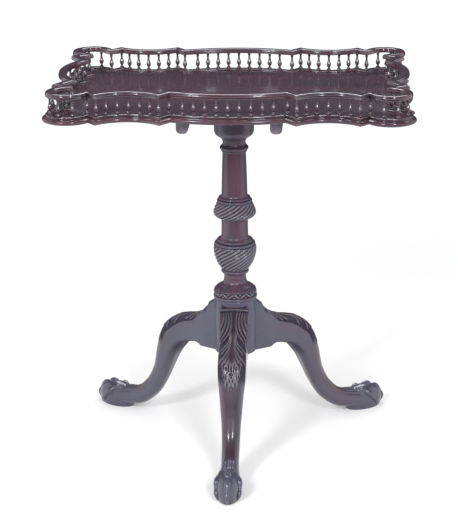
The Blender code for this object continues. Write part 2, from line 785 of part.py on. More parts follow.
def add_screw(name, start, direction, length, finish, hosts, pivot=None):
    """A screw with its head at start, and its hole in each piece that it goes through."""
    place = Matrix.Translation(start) @ along(direction)
    profile = screw_profile(length, 0.0)
    del profile[4]
    add_part(name, moved(turned(name, profile, SCREW_SIDES), place), finish, pivot)
    hole = moved(turned(name + "_hole", screw_profile(length, SEAT), SCREW_SIDES), place)
    cutter = add_cutter(name + "_hole", hole)
    for host in hosts:
        combine(host, cutter, "DIFFERENCE")


# Pivot block on the pillar

def build_block():
    back = BLOCK_DEPTH / 2
    round_radius = BLOCK_THICK / 2
    section = [
        (BLOCK_FRONT, BLOCK_TOP),
        (BLOCK_FRONT, BLOCK_FOOT + BLOCK_CHAMFER),
        (BLOCK_FRONT + BLOCK_CHAMFER, BLOCK_FOOT),
        (back - BLOCK_CHAMFER, BLOCK_FOOT),
        (back, BLOCK_FOOT + BLOCK_CHAMFER),
    ]
    for k in range(6):
        angle = math.radians(18 * k)
        section.append((PIVOT_Y + round_radius * math.cos(angle), PIVOT_Z + round_radius * math.sin(angle)))
    half = BLOCK_WIDTH / 2
    rings = [[(x, y, z) for y, z in section] for x in (-half, half)]
    block = add_part("pivot_block", loft("pivot_block", rings), MAHOGANY)
    reach = half + BEARER_GAP + BEARER_WIDTH
    pintles = rod("pintles", PINTLE_RADIUS, (-reach, PIVOT_Y, PIVOT_Z), (1, 0, 0), 2 * reach)
    combine(block, add_cutter("pintles", pintles), "UNION")
    bore = turned("tenon_bore", pillar_tenon(SEAT, 2 * SEAT), PILLAR_SIDES)
    combine(block, add_cutter("tenon_bore", bore), "DIFFERENCE")
    return block


def pillar_tenon(spare, over):
    """Profile of the pillar's round tenon, grown by a clearance for its bore."""
    radius, low, high = TENON_RADIUS + spare, PILLAR_TOP - over, BLOCK_TOP + over
    return [(0.0, high), (radius, high), (radius, low), (0.0, low)]


def wedge_mesh(spare, over):
    rings = []
    for thick, z in ((WEDGE_TOE, BLOCK_TOP - WEDGE_LENGTH - over), (WEDGE_HEAD, BLOCK_TOP + over)):
        across, half = WEDGE_WIDTH / 2 + spare, thick / 2 + spare
        rings.append([(-across, -half, z), (across, -half, z), (across, half, z), (-across, half, z)])
    return loft("tenon_wedge", rings)


# Pillar

def bead(low, height, inner, outer, steps=3):
    """A half-round moulding, from its lower edge to its upper one."""
    turns = [math.pi * k / steps for k in range(steps + 1)]
    return [
        (inner + (outer - inner) * math.sin(t), low + height * (1 - math.cos(t)) / 2) for t in turns
    ]


def pillar_profile():
    """The pillar's turned core from the drum up to the tenon, without its carved swellings."""
    z = DRUM_FOOT
    points = [(0.0, z), (DRUM_RADIUS, z)]
    z += DRUM_HEIGHT
    points.append((DRUM_RADIUS, z))
    points += bead(z, LISTEL_HEIGHT, BAND_RADIUS, LISTEL_RADIUS)
    z += LISTEL_HEIGHT + BAND_HEIGHT
    points.append((BAND_RADIUS, z))
    for k in range(1, 5):
        t = k / 4
        swing = (1 + math.cos(math.pi * t)) / 2
        radius = LOWER_NECK_RADIUS + (BAND_RADIUS - LOWER_NECK_RADIUS) * swing
        points.append((radius, z + SHOULDER_HEIGHT * t))
    points += bead(VASE_FOOT - RING_HEIGHT, RING_HEIGHT, LOWER_NECK_RADIUS, RING_RADIUS)
    points.append((LOWER_NECK_RADIUS, VASE_FOOT + VASE_HEIGHT / 2))
    points += collar(VASE_FOOT + VASE_HEIGHT, VASE_COLLAR_HEIGHT, VASE_COLLAR_RADIUS, MIDDLE_NECK_RADIUS)
    points += collar(SWELL_FOOT + SWELL_HEIGHT, SWELL_COLLAR_HEIGHT, SWELL_COLLAR_RADIUS, SHAFT_FOOT_RADIUS)
    points.append((SHAFT_TOP_RADIUS, SHAFT_TOP))
    points += bead(SHAFT_TOP, ASTRAGAL_HEIGHT, SHAFT_TOP_RADIUS, ASTRAGAL_RADIUS)
    z = PILLAR_TOP - ABACUS_HEIGHT - ECHINUS_HEIGHT
    for k in range(4):
        t = math.pi / 2 * k / 3
        swell = (ABACUS_RADIUS - NECKING_RADIUS) * math.sin(t)
        points.append((NECKING_RADIUS + swell, z + ECHINUS_HEIGHT * (1 - math.cos(t))))
    points += [(ABACUS_RADIUS, PILLAR_TOP), (TENON_RADIUS, PILLAR_TOP)]
    points += [(TENON_RADIUS, BLOCK_TOP), (0.0, BLOCK_TOP)]
    return points


def collar(low, height, outer, inner):
    """Two rounded steps that lead from a swelling in to the neck above it."""
    half, middle = height / 2, (outer + inner) / 2
    return [
        (middle, low),
        (outer, low + half * 0.3),
        (outer, low + half * 0.7),
        (middle, low + half),
        (middle + (outer - middle) * 0.3, low + half * 1.5),
        (inner, low + height),
    ]


def gadrooned(name, low, height, radius_at):
    """A swelling carved with spiral ridges: each climbs across its face and drops to the next."""
    climb = (0.0, 1.0)
    around = GADROONS * len(climb)
    steps = 6
    rings = []
    for k in range(steps + 1):
        t = k / steps
        turn = math.radians(GADROON_TURN) * t
        ring = []
        for n in range(around):
            ridge = climb[n % len(climb)] * GADROON_DEPTH - GADROON_DEPTH
            radius = radius_at(t) + ridge
            angle = turn + 2 * math.pi * n / around
            ring.append((radius * math.cos(angle), radius * math.sin(angle), low + height * t))
        rings.append(ring)
    return loft(name, rings)


def vase_radius(t):
    """Round-bellied cup, widest near its top."""
    return VASE_FOOT_RADIUS + (VASE_RADIUS - VASE_FOOT_RADIUS) * math.sin(math.pi * (0.04 + 0.56 * t))


def swell_radius(t):
    """Tapered cup turned over, widest just above its foot."""
    foot = MIDDLE_NECK_RADIUS + GADROON_DEPTH * 2
    if t < 0.3:
        return foot + (SWELL_RADIUS - foot) * math.sin(math.pi / 2 * t / 0.3)
    return SWELL_RADIUS + (SWELL_TOP_RADIUS - SWELL_RADIUS) * ((t - 0.3) / 0.7) ** 1.3


def dovetail(name, spare, low, high):
    """The dovetail on a leg's head that slides up into the drum, for the leg along +X."""
    root, tip = DRUM_RADIUS + DOVETAIL_DEPTH, DRUM_RADIUS - DOVETAIL_DEPTH - spare
    neck, tail = DOVETAIL_NECK / 2 + spare, DOVETAIL_TAIL / 2 + spare
    slope = (tail - neck) / DOVETAIL_DEPTH
    wide = neck - slope * DOVETAIL_DEPTH
    half = [(tip, tail), (DRUM_RADIUS, neck), (root, wide)]
    section = [(x, -y) for x, y in half] + half[::-1]
    return loft(name, [[(x, y, z) for x, y in section] for z in (low, high)])


def build_pillar():
    core = turned("column", pillar_profile()[::-1], PILLAR_SIDES)
    column = add_part("column", core, MAHOGANY)
    vase = gadrooned("vase_carving", VASE_FOOT, VASE_HEIGHT, vase_radius)
    swell = gadrooned("swell_carving", SWELL_FOOT, SWELL_HEIGHT, swell_radius)
    combine(column, add_cutter("vase_carving", vase), "UNION")
    combine(column, add_cutter("swell_carving", swell), "UNION")
    for name, turn in LEG_TURNS.items():
        low, high = DRUM_FOOT - SEAT, DRUM_FOOT + DOVETAIL_HEIGHT + SEAT
        slot = dovetail("dovetail_slot_" + name, SEAT, low, high)
        moved(slot, Matrix.Rotation(math.radians(turn), 4, "Z"))
        combine(column, add_cutter("dovetail_slot_" + name, slot), "DIFFERENCE")
    combine(column, add_cutter("wedge_slot", wedge_mesh(SEAT, SEAT)), "DIFFERENCE")
    add_part("tenon_wedge", wedge_mesh(0.0, 0.0), MAHOGANY)


# Legs

def smooth(values, t):
    """A value on the smooth curve through evenly spaced ones, at t from 0 to 1."""
    last = len(values) - 1
    place = min(max(t * last, 0.0), last)
    k = min(int(place), last - 1)
    u = place - k
    before, start = values[max(k - 1, 0)], values[k]
    end, after = values[k + 1], values[min(k + 2, last)]
    bend = (2 * before - 5 * start + 4 * end - after) * u * u
    turn = (3 * start - before - 3 * end + after) * u * u * u
    return start + 0.5 * ((end - before) * u + bend + turn)


def section_ends(reach, height, depth, lean):
    """Crest and belly points of a leg section."""
    angle = math.radians(lean)
    return (reach, height), (reach - depth * math.sin(angle), height - depth * math.cos(angle))


def leg_stations():
    """Crest point, belly point, width and corner rounding down the leg, from the drum to the foot."""
    root = math.sqrt(DRUM_RADIUS ** 2 - (LEG_WIDTH / 2) ** 2) - LEG_SUNK
    crest = DRUM_FOOT + LEG_HEAD_DEPTH
    head = DRUM_RADIUS + LEG_HEAD_LENGTH
    bracket_depth = (BRACKET_RISE - BRACKET_ARCH) / math.cos(math.radians(BRACKET_LEAN))
    bracket = section_ends(BRACKET_REACH, DRUM_FOOT + BRACKET_RISE, bracket_depth, BRACKET_LEAN)
    hip_depth = (HIP_RISE - HIP_ARCH) / math.cos(math.radians(HIP_LEAN))
    hip = section_ends(HIP_REACH, DRUM_FOOT + HIP_RISE, hip_depth, HIP_LEAN)
    shoulder = section_ends(SHOULDER_REACH, DRUM_FOOT + SHOULDER_RISE, SHOULDER_DEPTH, SHOULDER_LEAN)
    knee = section_ends(KNEE_REACH, KNEE_HEIGHT, KNEE_DEPTH, KNEE_LEAN)
    calf = section_ends(CALF_REACH, CALF_HEIGHT, CALF_DEPTH, CALF_LEAN)
    shin = section_ends(SHIN_REACH, SHIN_HEIGHT, SHIN_DEPTH, SHIN_LEAN)
    shank = section_ends(SHANK_REACH, SHANK_HEIGHT, SHANK_DEPTH, SHANK_LEAN)
    ankle = section_ends(FOOT_REACH - ANKLE_BACK, ANKLE_HEIGHT, ANKLE_DEPTH, ANKLE_LEAN)
    instep = section_ends(FOOT_REACH - INSTEP_BACK, INSTEP_HEIGHT, INSTEP_DEPTH, INSTEP_LEAN)
    heel = section_ends(FOOT_REACH - HEEL_BACK, HEEL_HEIGHT, HEEL_DEPTH, HEEL_LEAN)
    return [
        ((root, crest), (root, DRUM_FOOT), LEG_WIDTH, 0.06),
        ((head, crest - LEG_HEAD_FALL), (head, DRUM_FOOT), LEG_WIDTH, 0.08),
        (*bracket, LEG_WIDTH, 0.10),
        (*hip, LEG_WIDTH, 0.13),
        (*shoulder, LEG_WIDTH, 0.21),
        (*knee, LEG_WIDTH, 0.30),
        (*calf, CALF_WIDTH, 0.39),
        (*shin, SHIN_WIDTH, 0.44),
        (*shank, SHANK_WIDTH, 0.47),
        (*ankle, ANKLE_WIDTH, 0.49),
        (*instep, INSTEP_WIDTH, 0.49),
        (*heel, INSTEP_WIDTH, 0.49),
    ]


def rounded_section(crest, belly, width, rounding):
    """Rounded rectangle between a crest and a belly point in the leg's plane, along +X."""
    top, foot = Vector((crest[0], 0, crest[1])), Vector((belly[0], 0, belly[1]))
    middle, up = (top + foot) / 2, (top - foot)
    tall = up.length / 2
    up.normalize()
    across = Vector((0, 1, 0))
    radius = min(rounding * width, tall * 0.98, width * 0.49)
    ring = []
    for sign_a, sign_u, begin in ((1, 1, 0), (-1, 1, 90), (-1, -1, 180), (1, -1, 270)):
        for turn in (0, 45, 90):
            angle = math.radians(begin + turn)
            a = sign_a * (width / 2 - radius) + radius * math.cos(angle)
            u = sign_u * (tall - radius) + radius * math.sin(angle)
            ring.append(middle + across * a + up * u)
    return ring


def leg_shape(steps):
    stations = leg_stations()
    columns = [
        [s[0][0] for s in stations], [s[0][1] for s in stations],
        [s[1][0] for s in stations], [s[1][1] for s in stations],
        [s[2] for s in stations], [s[3] for s in stations],
    ]
    rings = []
    for k in range(steps + 1):
        t = k / steps
        cx, cz, bx, bz, width, rounding = (smooth(values, t) for values in columns)
        if bx < STRAP_REACH:
            bz = max(bz, DRUM_FOOT)  # flat where the strap lies
        rings.append(rounded_section((cx, cz), (bx, bz), width, rounding))
    return loft("leg", rings)


def ball_mesh():
    shape = bmesh.new()
    bmesh.ops.create_uvsphere(shape, u_segments=12, v_segments=8, radius=0.5)
    mesh = bpy.data.meshes.new("ball")
    shape.to_mesh(mesh)
    shape.free()
    size = Matrix.Diagonal((BALL_LENGTH, BALL_WIDTH, BALL_HEIGHT, 1.0))
    return moved(mesh, Matrix.Translation((FOOT_REACH, 0, BALL_HEIGHT / 2 - BALL_SUNK)) @ size)


def toe_mesh(name, climbs, turns, stand):
    """A knuckled toe laid over the ball, along climbs and turns round the ball's middle."""
    middle = Vector((FOOT_REACH, 0, BALL_HEIGHT / 2 - BALL_SUNK))
    half = Vector((BALL_LENGTH / 2, BALL_WIDTH / 2, BALL_HEIGHT / 2))
    points = []
    for climb, turn, off in zip(climbs, turns, TOE_STANDS):
        climb, turn = math.radians(climb), math.radians(turn)
        flat = math.cos(climb)
        out = Vector((flat * math.cos(turn), flat * math.sin(turn), math.sin(climb)))
        points.append(middle + out * half + out * (off * stand))
    rings = []
    for k, point in enumerate(points):
        way = points[min(k + 1, len(points) - 1)] - points[max(k - 1, 0)]
        face = along(way.normalized())
        radius = TOE_RADIUS * TOE_SWELLS[k]
        corners = [math.radians(60 * n) for n in range(6)]
        rings.append([
            point + face @ Vector((radius * math.cos(a), radius * math.sin(a), 0)) for a in corners
        ])
    return loft(name, rings)


def build_legs():
    leg = add_cutter("leg", leg_shape(17))
    low, high = DRUM_FOOT - 2 * SEAT, DRUM_FOOT + DRUM_HEIGHT - SEAT
    over = high + LEG_HEAD_DEPTH
    radius, ring = DRUM_RADIUS + SEAT, LISTEL_RADIUS + SEAT
    face = [(0, over), (ring, over), (ring, high), (radius, high), (radius, low), (0, low)]
    drum = turned("drum_face", face, PILLAR_SIDES)
    combine(leg, add_cutter("drum_face", drum), "DIFFERENCE")
    tongue = dovetail("dovetail", 0.0, DRUM_FOOT, DRUM_FOOT + DOVETAIL_HEIGHT)
    combine(leg, add_cutter("dovetail", tongue), "UNION")
    combine(leg, add_cutter("ball", ball_mesh()), "UNION")
    straight = [0.0] * len(TOE_CLIMBS)
    combine(leg, add_cutter("toe_middle", toe_mesh("toe_middle", TOE_CLIMBS, straight, 1.0)), "UNION")
    for name, sign in (("toe_left", 1), ("toe_right", -1)):
        turns = [sign * turn for turn in SIDE_TOE_TURNS]
        toe = toe_mesh(name, SIDE_TOE_CLIMBS, turns, SIDE_TOE_STAND)
        combine(leg, add_cutter(name, toe), "UNION")
    floor = box("floor_cut", (0, -BALL_LENGTH, -BALL_HEIGHT), (FOOT_REACH + BALL_LENGTH, BALL_LENGTH, 0))
    combine(leg, add_cutter("floor_cut", floor), "DIFFERENCE")
    shape = baked(leg)
    legs = {}
    for name, turn in LEG_TURNS.items():
        leg = add_part("leg_" + name, shape.copy(), MAHOGANY)
        leg.rotation_euler.z = math.radians(turn)
        legs[name] = leg
    return legs


def build_strap(legs):
    """Three-armed iron strap under the drum, screwed up into the legs."""
    high = DRUM_FOOT - SEAT
    low = high - STRAP_THICK
    half = STRAP_WIDTH / 2
    section = []
    for turn in LEG_TURNS.values():
        place = Matrix.Rotation(math.radians(turn), 2)
        arm = [(STRAP_REACH, -half), (STRAP_REACH + half * 0.6, 0.0), (STRAP_REACH, half)]
        section += [place @ Vector(point) for point in arm]
        crotch = Matrix.Rotation(math.radians(turn + 60), 2)
        section.append(crotch @ Vector((half / math.sin(math.radians(60)), 0.0)))
    rings = [[(p.x, p.y, z) for p in section] for z in (low, high)]
    strap = add_part("leg_strap", loft("leg_strap", rings), IRON)
    for name, turn in LEG_TURNS.items():
        angle = math.radians(turn)
        start = (STRAP_SCREW_REACH * math.cos(angle), STRAP_SCREW_REACH * math.sin(angle), low)
        add_screw("strap_screw_" + name, start, (0, 0, 1), STRAP_SCREW_LENGTH, IRON, (strap, legs[name]))


# Brass catch

def build_catch(board, block, pivot, slide):
    high = CATCH_TOP
    plate_foot = high - PLATE_THICK
    half_plate, half_case = PLATE_WIDTH / 2, CASE_WIDTH / 2
    middle = CASE_FRONT - CASE_LENGTH / 2
    plate_box = box(
        "catch_plate",
        (-half_plate, middle - PLATE_LENGTH / 2, plate_foot),
        (half_plate, middle + PLATE_LENGTH / 2, high),
    )
    plate = add_part("catch_plate", plate_box, BRASS, pivot)
    case = box(
        "catch_case",
        (-half_case, CASE_FRONT - CASE_LENGTH, CASE_FOOT),
        (half_case, CASE_FRONT, plate_foot + PLATE_THICK / 2),
    )
    combine(plate, add_cutter("catch_case", case), "UNION")
    side, tall = BOLT_WIDTH / 2 + RUN, BOLT_THICK / 2 + RUN
    way = box(
        "bolt_way",
        (-side, CASE_FRONT - CASE_LENGTH + CASE_WALL, BOLT_Z - tall),
        (side, CASE_FRONT + CATCH_STANDOFF, BOLT_Z + tall),
    )
    combine(plate, add_cutter("bolt_way", way), "DIFFERENCE")
    knob_y = BOLT_NOSE - KNOB_BACK
    stem = KNOB_STEM_RADIUS + RUN
    slot = box(
        "knob_slot",
        (-stem, knob_y - stem, CASE_FOOT - CASE_WALL),
        (stem, knob_y + BOLT_TRAVEL + stem, BOLT_Z),
    )
    combine(plate, add_cutter("knob_slot", slot), "DIFFERENCE")
    add_leaf(plate, BOLT_Z + tall, pivot)
    for name, sign in (("left", -1), ("right", 1)):
        start = (sign * CATCH_SCREW_X, middle, plate_foot)
        add_screw("catch_screw_" + name, start, (0, 0, 1), CATCH_SCREW_LENGTH, BRASS, (plate, board), pivot)
    add_bolt(knob_y, slide)
    add_keeper(block)


def add_leaf(plate, low, pivot):
    """Bowed leaf spring in a recess over the bolt, which holds it wherever it is slid."""
    middle = BOLT_NOSE - BOLT_LENGTH / 2
    half, side = LEAF_LENGTH / 2, LEAF_WIDTH / 2
    recess = box(
        "leaf_recess",
        (-side - SEAT, middle - half - SEAT, BOLT_Z),
        (side + SEAT, middle + half + SEAT, low + LEAF_BOW + LEAF_THICK + SEAT),
    )
    combine(plate, add_cutter("leaf_recess", recess), "DIFFERENCE")
    rings = []
    for k in range(7):
        t = 2 * k / 6 - 1
        y, z = middle + half * t, low + LEAF_BOW * t * t
        rings.append([(-side, y, z), (side, y, z), (side, y, z + LEAF_THICK), (-side, y, z + LEAF_THICK)])
    add_part("catch_leaf", loft("catch_leaf", rings), BRASS, pivot)


def add_bolt(knob_y, slide):
    """Sliding bolt with a bevelled nose and a turned knob screwed into its underside."""
    half, tall, tail = BOLT_WIDTH / 2, BOLT_THICK / 2, BOLT_NOSE - BOLT_LENGTH
    side = [
        (tail, BOLT_Z + tall),
        (BOLT_NOSE, BOLT_Z + tall),
        (BOLT_NOSE, BOLT_Z - tall + BOLT_BEVEL),
        (BOLT_NOSE - BOLT_BEVEL, BOLT_Z - tall),
        (tail, BOLT_Z - tall),
    ]
    rings = [[(x, y, z) for y, z in side] for x in (-half, half)]
    add_part("catch_bolt", loft("catch_bolt", rings), BRASS, slide)
    top = BOLT_Z - tall - SEAT
    centre = top - KNOB_DROP
    profile = [(0.0, top), (KNOB_STEM_RADIUS, top), (KNOB_STEM_RADIUS, centre + KNOB_RADIUS * 0.9)]
    for turn in (40, 75, 110, 145):
        angle = math.radians(turn)
        profile.append((KNOB_RADIUS * math.sin(angle), centre + KNOB_RADIUS * math.cos(angle)))
    profile.append((0.0, centre - KNOB_RADIUS))
    knob = moved(turned("catch_knob", profile, 10), Matrix.Translation((0, knob_y, 0)))
    add_part("catch_knob", knob, BRASS, slide)


def add_keeper(block):
    """Brass plate let into the block's front edge, with a hole for the bolt's nose."""
    half, tall = KEEPER_WIDTH / 2, KEEPER_HEIGHT / 2
    back = BLOCK_FRONT + KEEPER_THICK
    plate = box("catch_keeper", (-half, BLOCK_FRONT, BOLT_Z - tall), (half, back, BOLT_Z + tall))
    keeper = add_part("catch_keeper", plate, BRASS)
    recess = box(
        "keeper_recess",
        (-half - SEAT, BLOCK_FRONT - KEEPER_THICK, BOLT_Z - tall - SEAT),
        (half + SEAT, back + SEAT, BOLT_Z + tall + SEAT),
    )
    combine(block, add_cutter("keeper_recess", recess), "DIFFERENCE")
    side, lift = BOLT_WIDTH / 2 + POCKET_CLEAR, BOLT_THICK / 2 + POCKET_CLEAR
    pocket = box(
        "bolt_pocket",
        (-side, BLOCK_FRONT - KEEPER_THICK, BOLT_Z - lift),
        (side, BLOCK_FRONT + BOLT_THROW + POCKET_CLEAR, BOLT_Z + lift),
    )
    hole = add_cutter("bolt_pocket", pocket)
    combine(keeper, hole, "DIFFERENCE")
    combine(block, hole, "DIFFERENCE")
    for name, sign in (("left", -1), ("right", 1)):
        start = (sign * KEEPER_SCREW_X, BLOCK_FRONT, BOLT_Z)
        add_screw("keeper_screw_" + name, start, (0, 1, 0), KEEPER_SCREW_LENGTH, BRASS, (keeper, block))


# Assembly

clear_scene()
parts = new_collection("tilt_top_tripod_table")
cutters = new_collection("cutters")
tilt_axis = bpy.data.objects.new("tilt_axis", None)
tilt_axis.location = (0, PIVOT_Y, PIVOT_Z)
parts.objects.link(tilt_axis)
bolt_axis = bpy.data.objects.new("bolt_axis", None)
bolt_axis.location = (0, BOLT_NOSE, BOLT_Z)
parts.objects.link(bolt_axis)
bpy.context.view_layer.update()
bolt_axis.parent = tilt_axis
bolt_axis.matrix_parent_inverse = tilt_axis.matrix_world.inverted()
bpy.context.view_layer.update()

build_pillar()
build_strap(build_legs())
pivot_block = build_block()
top_board = build_board(tilt_axis)
build_gallery(tilt_axis)
build_bearers(top_board, tilt_axis)
build_catch(top_board, pivot_block, tilt_axis, bolt_axis)
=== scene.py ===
"""Looks of the tilt-top tripod table: the galleried top, the carved pillar and the claw-and-ball legs.

Metres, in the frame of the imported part: +Z up, the pillar's axis at the origin, the front leg towards -Y.
"""

import cmath
import math

import bmesh
import bpy
import numpy as np
from mathutils import Matrix, Vector


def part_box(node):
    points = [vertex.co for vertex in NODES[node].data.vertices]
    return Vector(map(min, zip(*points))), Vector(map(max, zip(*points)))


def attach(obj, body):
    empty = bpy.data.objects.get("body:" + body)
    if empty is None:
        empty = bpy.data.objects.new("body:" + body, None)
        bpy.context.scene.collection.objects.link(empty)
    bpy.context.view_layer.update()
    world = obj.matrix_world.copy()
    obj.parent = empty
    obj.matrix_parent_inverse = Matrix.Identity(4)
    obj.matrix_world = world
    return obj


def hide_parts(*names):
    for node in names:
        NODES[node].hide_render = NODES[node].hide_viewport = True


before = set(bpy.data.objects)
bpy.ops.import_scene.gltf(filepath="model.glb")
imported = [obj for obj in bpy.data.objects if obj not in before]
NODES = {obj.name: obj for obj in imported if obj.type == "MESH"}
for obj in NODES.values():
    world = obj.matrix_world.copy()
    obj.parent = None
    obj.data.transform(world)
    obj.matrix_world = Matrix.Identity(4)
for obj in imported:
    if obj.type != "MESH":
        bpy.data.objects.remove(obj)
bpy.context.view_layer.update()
MM = 0.001

# Plan of the handrail's outer edge in the quarter with +X and +Y, as points of the complex plane
BOW_END = 0.103 + 0.192j
INNER_TIP = 0.121 + 0.216j
OUTER_TIP = 0.234 + 0.216j
NOTCH = 0.250 + 0.195j
SIDE_NOTCH = 0.299 + 0.144j
SIDE_TIP = 0.323 + 0.130j
SIDE_BOW_START = 0.3005 + 0.089j
BOW_RISE = 0.0195
FLANK_HOLLOW = 0.0240
LOBE_RISE = 0.0570
SIDE_BOW_RISE = 0.0270
MITRE_MOST = 1.2  # longest mitre on the outer side of a notch
SHARPEST = 0.2  # least cosine of half the turn that a mitre is worked out for
NEARLY_ROUND = 1.75 * math.pi  # an angle past this lies just before the start of its arc

# Heights of the top
BOARD_FOOT = 0.6806
BOARD_TOP = 0.6921
REBATE = 0.6901  # floor of the rebate that the gallery stands in
STRIP_FOOT = 0.6904
STRIP_TOP = 0.6944
RAIL_FOOT = 0.7257
RAIL_WIDTH = 0.0150
FIELD_OUT = -0.0163  # edge of the sunk field, from the rail's outer edge

# Balusters between corners
BOW_BALUSTERS = 9
FLANK_BALUSTERS = 5
LOBE_BALUSTERS = 4
SIDE_BALUSTERS = 7

# Pillar and legs
DRUM_FOOT = 0.1780
SPIRAL_RIDGES = 20
PILLAR_SIDES = SPIRAL_RIDGES * 12  # a dozen to each ridge
LEG_TURNS = {"front": -90.0, "back_right": 30.0, "back_left": 150.0}
FOOT_REACH = 0.2930
BALL_SIZE = (0.0840, 0.0460, 0.0660)
BALL_SUNK = 0.0170


# Plan of the top: lines and arcs, moved outwards by a distance

def dot(one, other):
    return (one * other.conjugate()).real


def line(start, end):
    return {"start": start, "end": end, "way": (end - start) / abs(end - start)}


def arc(start, end, rise):
    """The arc between two points that swells by rise to the left of the way between them."""
    chord = end - start
    side = 1 if rise > 0 else -1
    radius = (abs(chord) ** 2 / 4 + rise * rise) / (2 * abs(rise))
    centre = (start + end) / 2 + 1j * chord / abs(chord) * (rise - side * radius)
    return {"start": start, "end": end, "centre": centre, "radius": radius, "side": side}


def heading(stretch, point):
    if "way" in stretch:
        return stretch["way"]
    out = (point - stretch["centre"]) * stretch["side"]
    return -1j * out / abs(out)


def place_of(stretch, point):
    """Where a point lies along a stretch: a length on a line, an angle on an arc."""
    if "way" in stretch:
        return dot(point - stretch["start"], stretch["way"])
    spoke = (point - stretch["centre"]) / (stretch["start"] - stretch["centre"])
    turn = -stretch["side"] * cmath.phase(spoke) % (2 * math.pi)
    return turn - 2 * math.pi if turn > NEARLY_ROUND else turn


def point_at(stretch, place, out):
    if "way" in stretch:
        return stretch["start"] + stretch["way"] * (place + 1j * out)
    spoke = (stretch["start"] - stretch["centre"]) / stretch["radius"]
    spoke *= cmath.exp(-1j * stretch["side"] * place)
    return stretch["centre"] + spoke * (stretch["radius"] + stretch["side"] * out)


def crossing(first, second, out, guess):
    """Where a line and its neighbour, both moved outwards, cross nearest to a guess."""
    if "way" not in first:
        first, second = second, first
    start, way = point_at(first, 0.0, out), first["way"]
    if "way" in second:
        across = 1j * second["way"]
        return start + way * (dot(point_at(second, 0.0, out) - start, across) / dot(way, across))
    radius = second["radius"] + second["side"] * out
    foot = dot(second["centre"] - start, way)
    height = abs(start + way * foot - second["centre"])
    half = math.sqrt(max(radius * radius - height * height, 0.0))
    return min((start + way * (foot + s * half) for s in (-1, 1)), key=lambda p: abs(p - guess))


def corner(first, second, out):
    """The corner between two stretches moved outwards, and whether they meet by crossing there."""
    point = first["end"]
    before, after = heading(first, point), heading(second, point)
    turn = (before.conjugate() * after).imag
    bisector = 1j * (before + after) / abs(before + after)
    mitre = 1 / max(dot(bisector, 1j * before), SHARPEST)
    if turn * out > 0:
        return crossing(first, second, out, point + bisector * out * mitre), True
    if turn > 0:
        mitre = min(mitre, MITRE_MOST)
    return point + bisector * out * mitre, False


PLAN = [
    arc(-BOW_END.conjugate(), BOW_END, BOW_RISE),
    line(BOW_END, INNER_TIP),
    arc(INNER_TIP, OUTER_TIP, -FLANK_HOLLOW),
    line(OUTER_TIP, NOTCH),
    arc(NOTCH, SIDE_NOTCH, LOBE_RISE),
    line(SIDE_NOTCH, SIDE_TIP),
    line(SIDE_TIP, SIDE_BOW_START),
    arc(SIDE_BOW_START, SIDE_BOW_START.conjugate(), SIDE_BOW_RISE),
]
BOW, FLANK, LOBE, RISER, SIDE_BOW = 0, 2, 4, 6, 7  # places in the plan
PLAN_STEPS = (26, 5, 26, 5, 34, 5, 8, 18)  # how finely each stretch is drawn
MIDDLE = -RAIL_WIDTH / 2  # from the rail's outer edge


def span(index, out):
    """First and last place on a stretch once its corners are moved outwards; half of each bow."""
    stretch = PLAN[index]
    first, last = 0.0, place_of(stretch, stretch["end"])
    if index == BOW:
        first = last / 2
    if index == SIDE_BOW:
        last = last / 2
    if index > BOW:
        point, crosses = corner(PLAN[index - 1], stretch, out)
        first = place_of(stretch, point) if crosses else first
    if index < SIDE_BOW:
        point, crosses = corner(stretch, PLAN[index + 1], out)
        last = place_of(stretch, point) if crosses else last
    return first, last


def quarter(out):
    """Points of the plan's first quarter, moved outwards."""
    points = []
    for index, steps in enumerate(PLAN_STEPS):
        low, high = span(index, out)
        run = [point_at(PLAN[index], low + (high - low) * k / steps, out) for k in range(steps + 1)]
        if points:
            points[-1] = corner(PLAN[index - 1], PLAN[index], out)[0]
            run = run[1:]
        points += run
    return np.array(points)


def all_round(part):
    """A quarter's values carried round the other three quarters."""
    back = part[::-1]
    return np.concatenate([part[:-1], back.conj()[:-1], -part[:-1], -back.conj()[:-1]])


def baluster_spots():
    """Middles of all the balusters: one at each corner, and evenly between corners."""
    def between(index, count):
        low, high = span(index, MIDDLE)
        share = [(k + 1) / (count + 1) for k in range(count)]
        return [point_at(PLAN[index], low + (high - low) * s, MIDDLE) for s in share]

    spots = [corner(PLAN[k], PLAN[k + 1], MIDDLE)[0] for k in range(len(PLAN) - 1)]
    spots += between(FLANK, FLANK_BALUSTERS) + between(LOBE, LOBE_BALUSTERS) + between(RISER, 1)
    bow_low, bow_high = span(BOW, MIDDLE)
    for k in range(1, (BOW_BALUSTERS + 1) // 2):
        place = bow_low + (bow_high - bow_low) * 2 * k / (BOW_BALUSTERS + 1)
        spots.append(point_at(PLAN[BOW], place, MIDDLE))
    side_low, side_high = span(SIDE_BOW, MIDDLE)
    for k in range(1, (SIDE_BALUSTERS + 1) // 2):
        share = 2 * k / (SIDE_BALUSTERS + 1)
        spots.append(point_at(PLAN[SIDE_BOW], side_high - (side_high - side_low) * share, MIDDLE))
    found = [q for p in spots for q in (p, p.conjugate(), -p, -p.conjugate())]
    ends = [point_at(PLAN[BOW], bow_low, MIDDLE), point_at(PLAN[SIDE_BOW], side_high, MIDDLE)]
    return found + [q for p in ends for q in (p, -p)]


# Meshes

MERGE_DISTANCE = 0.000002


def outward(mesh):
    """Merges a mesh's doubles and turns its faces outwards."""
    shape = bmesh.new()
    shape.from_mesh(mesh)
    bmesh.ops.remove_doubles(shape, verts=shape.verts, dist=MERGE_DISTANCE)
    bmesh.ops.recalc_face_normals(shape, faces=shape.faces)
    shape.to_mesh(mesh)
    shape.free()
    return mesh


def mesh_of(shape, name):
    mesh = bpy.data.meshes.new(name)
    shape.to_mesh(mesh)
    shape.free()
    return mesh


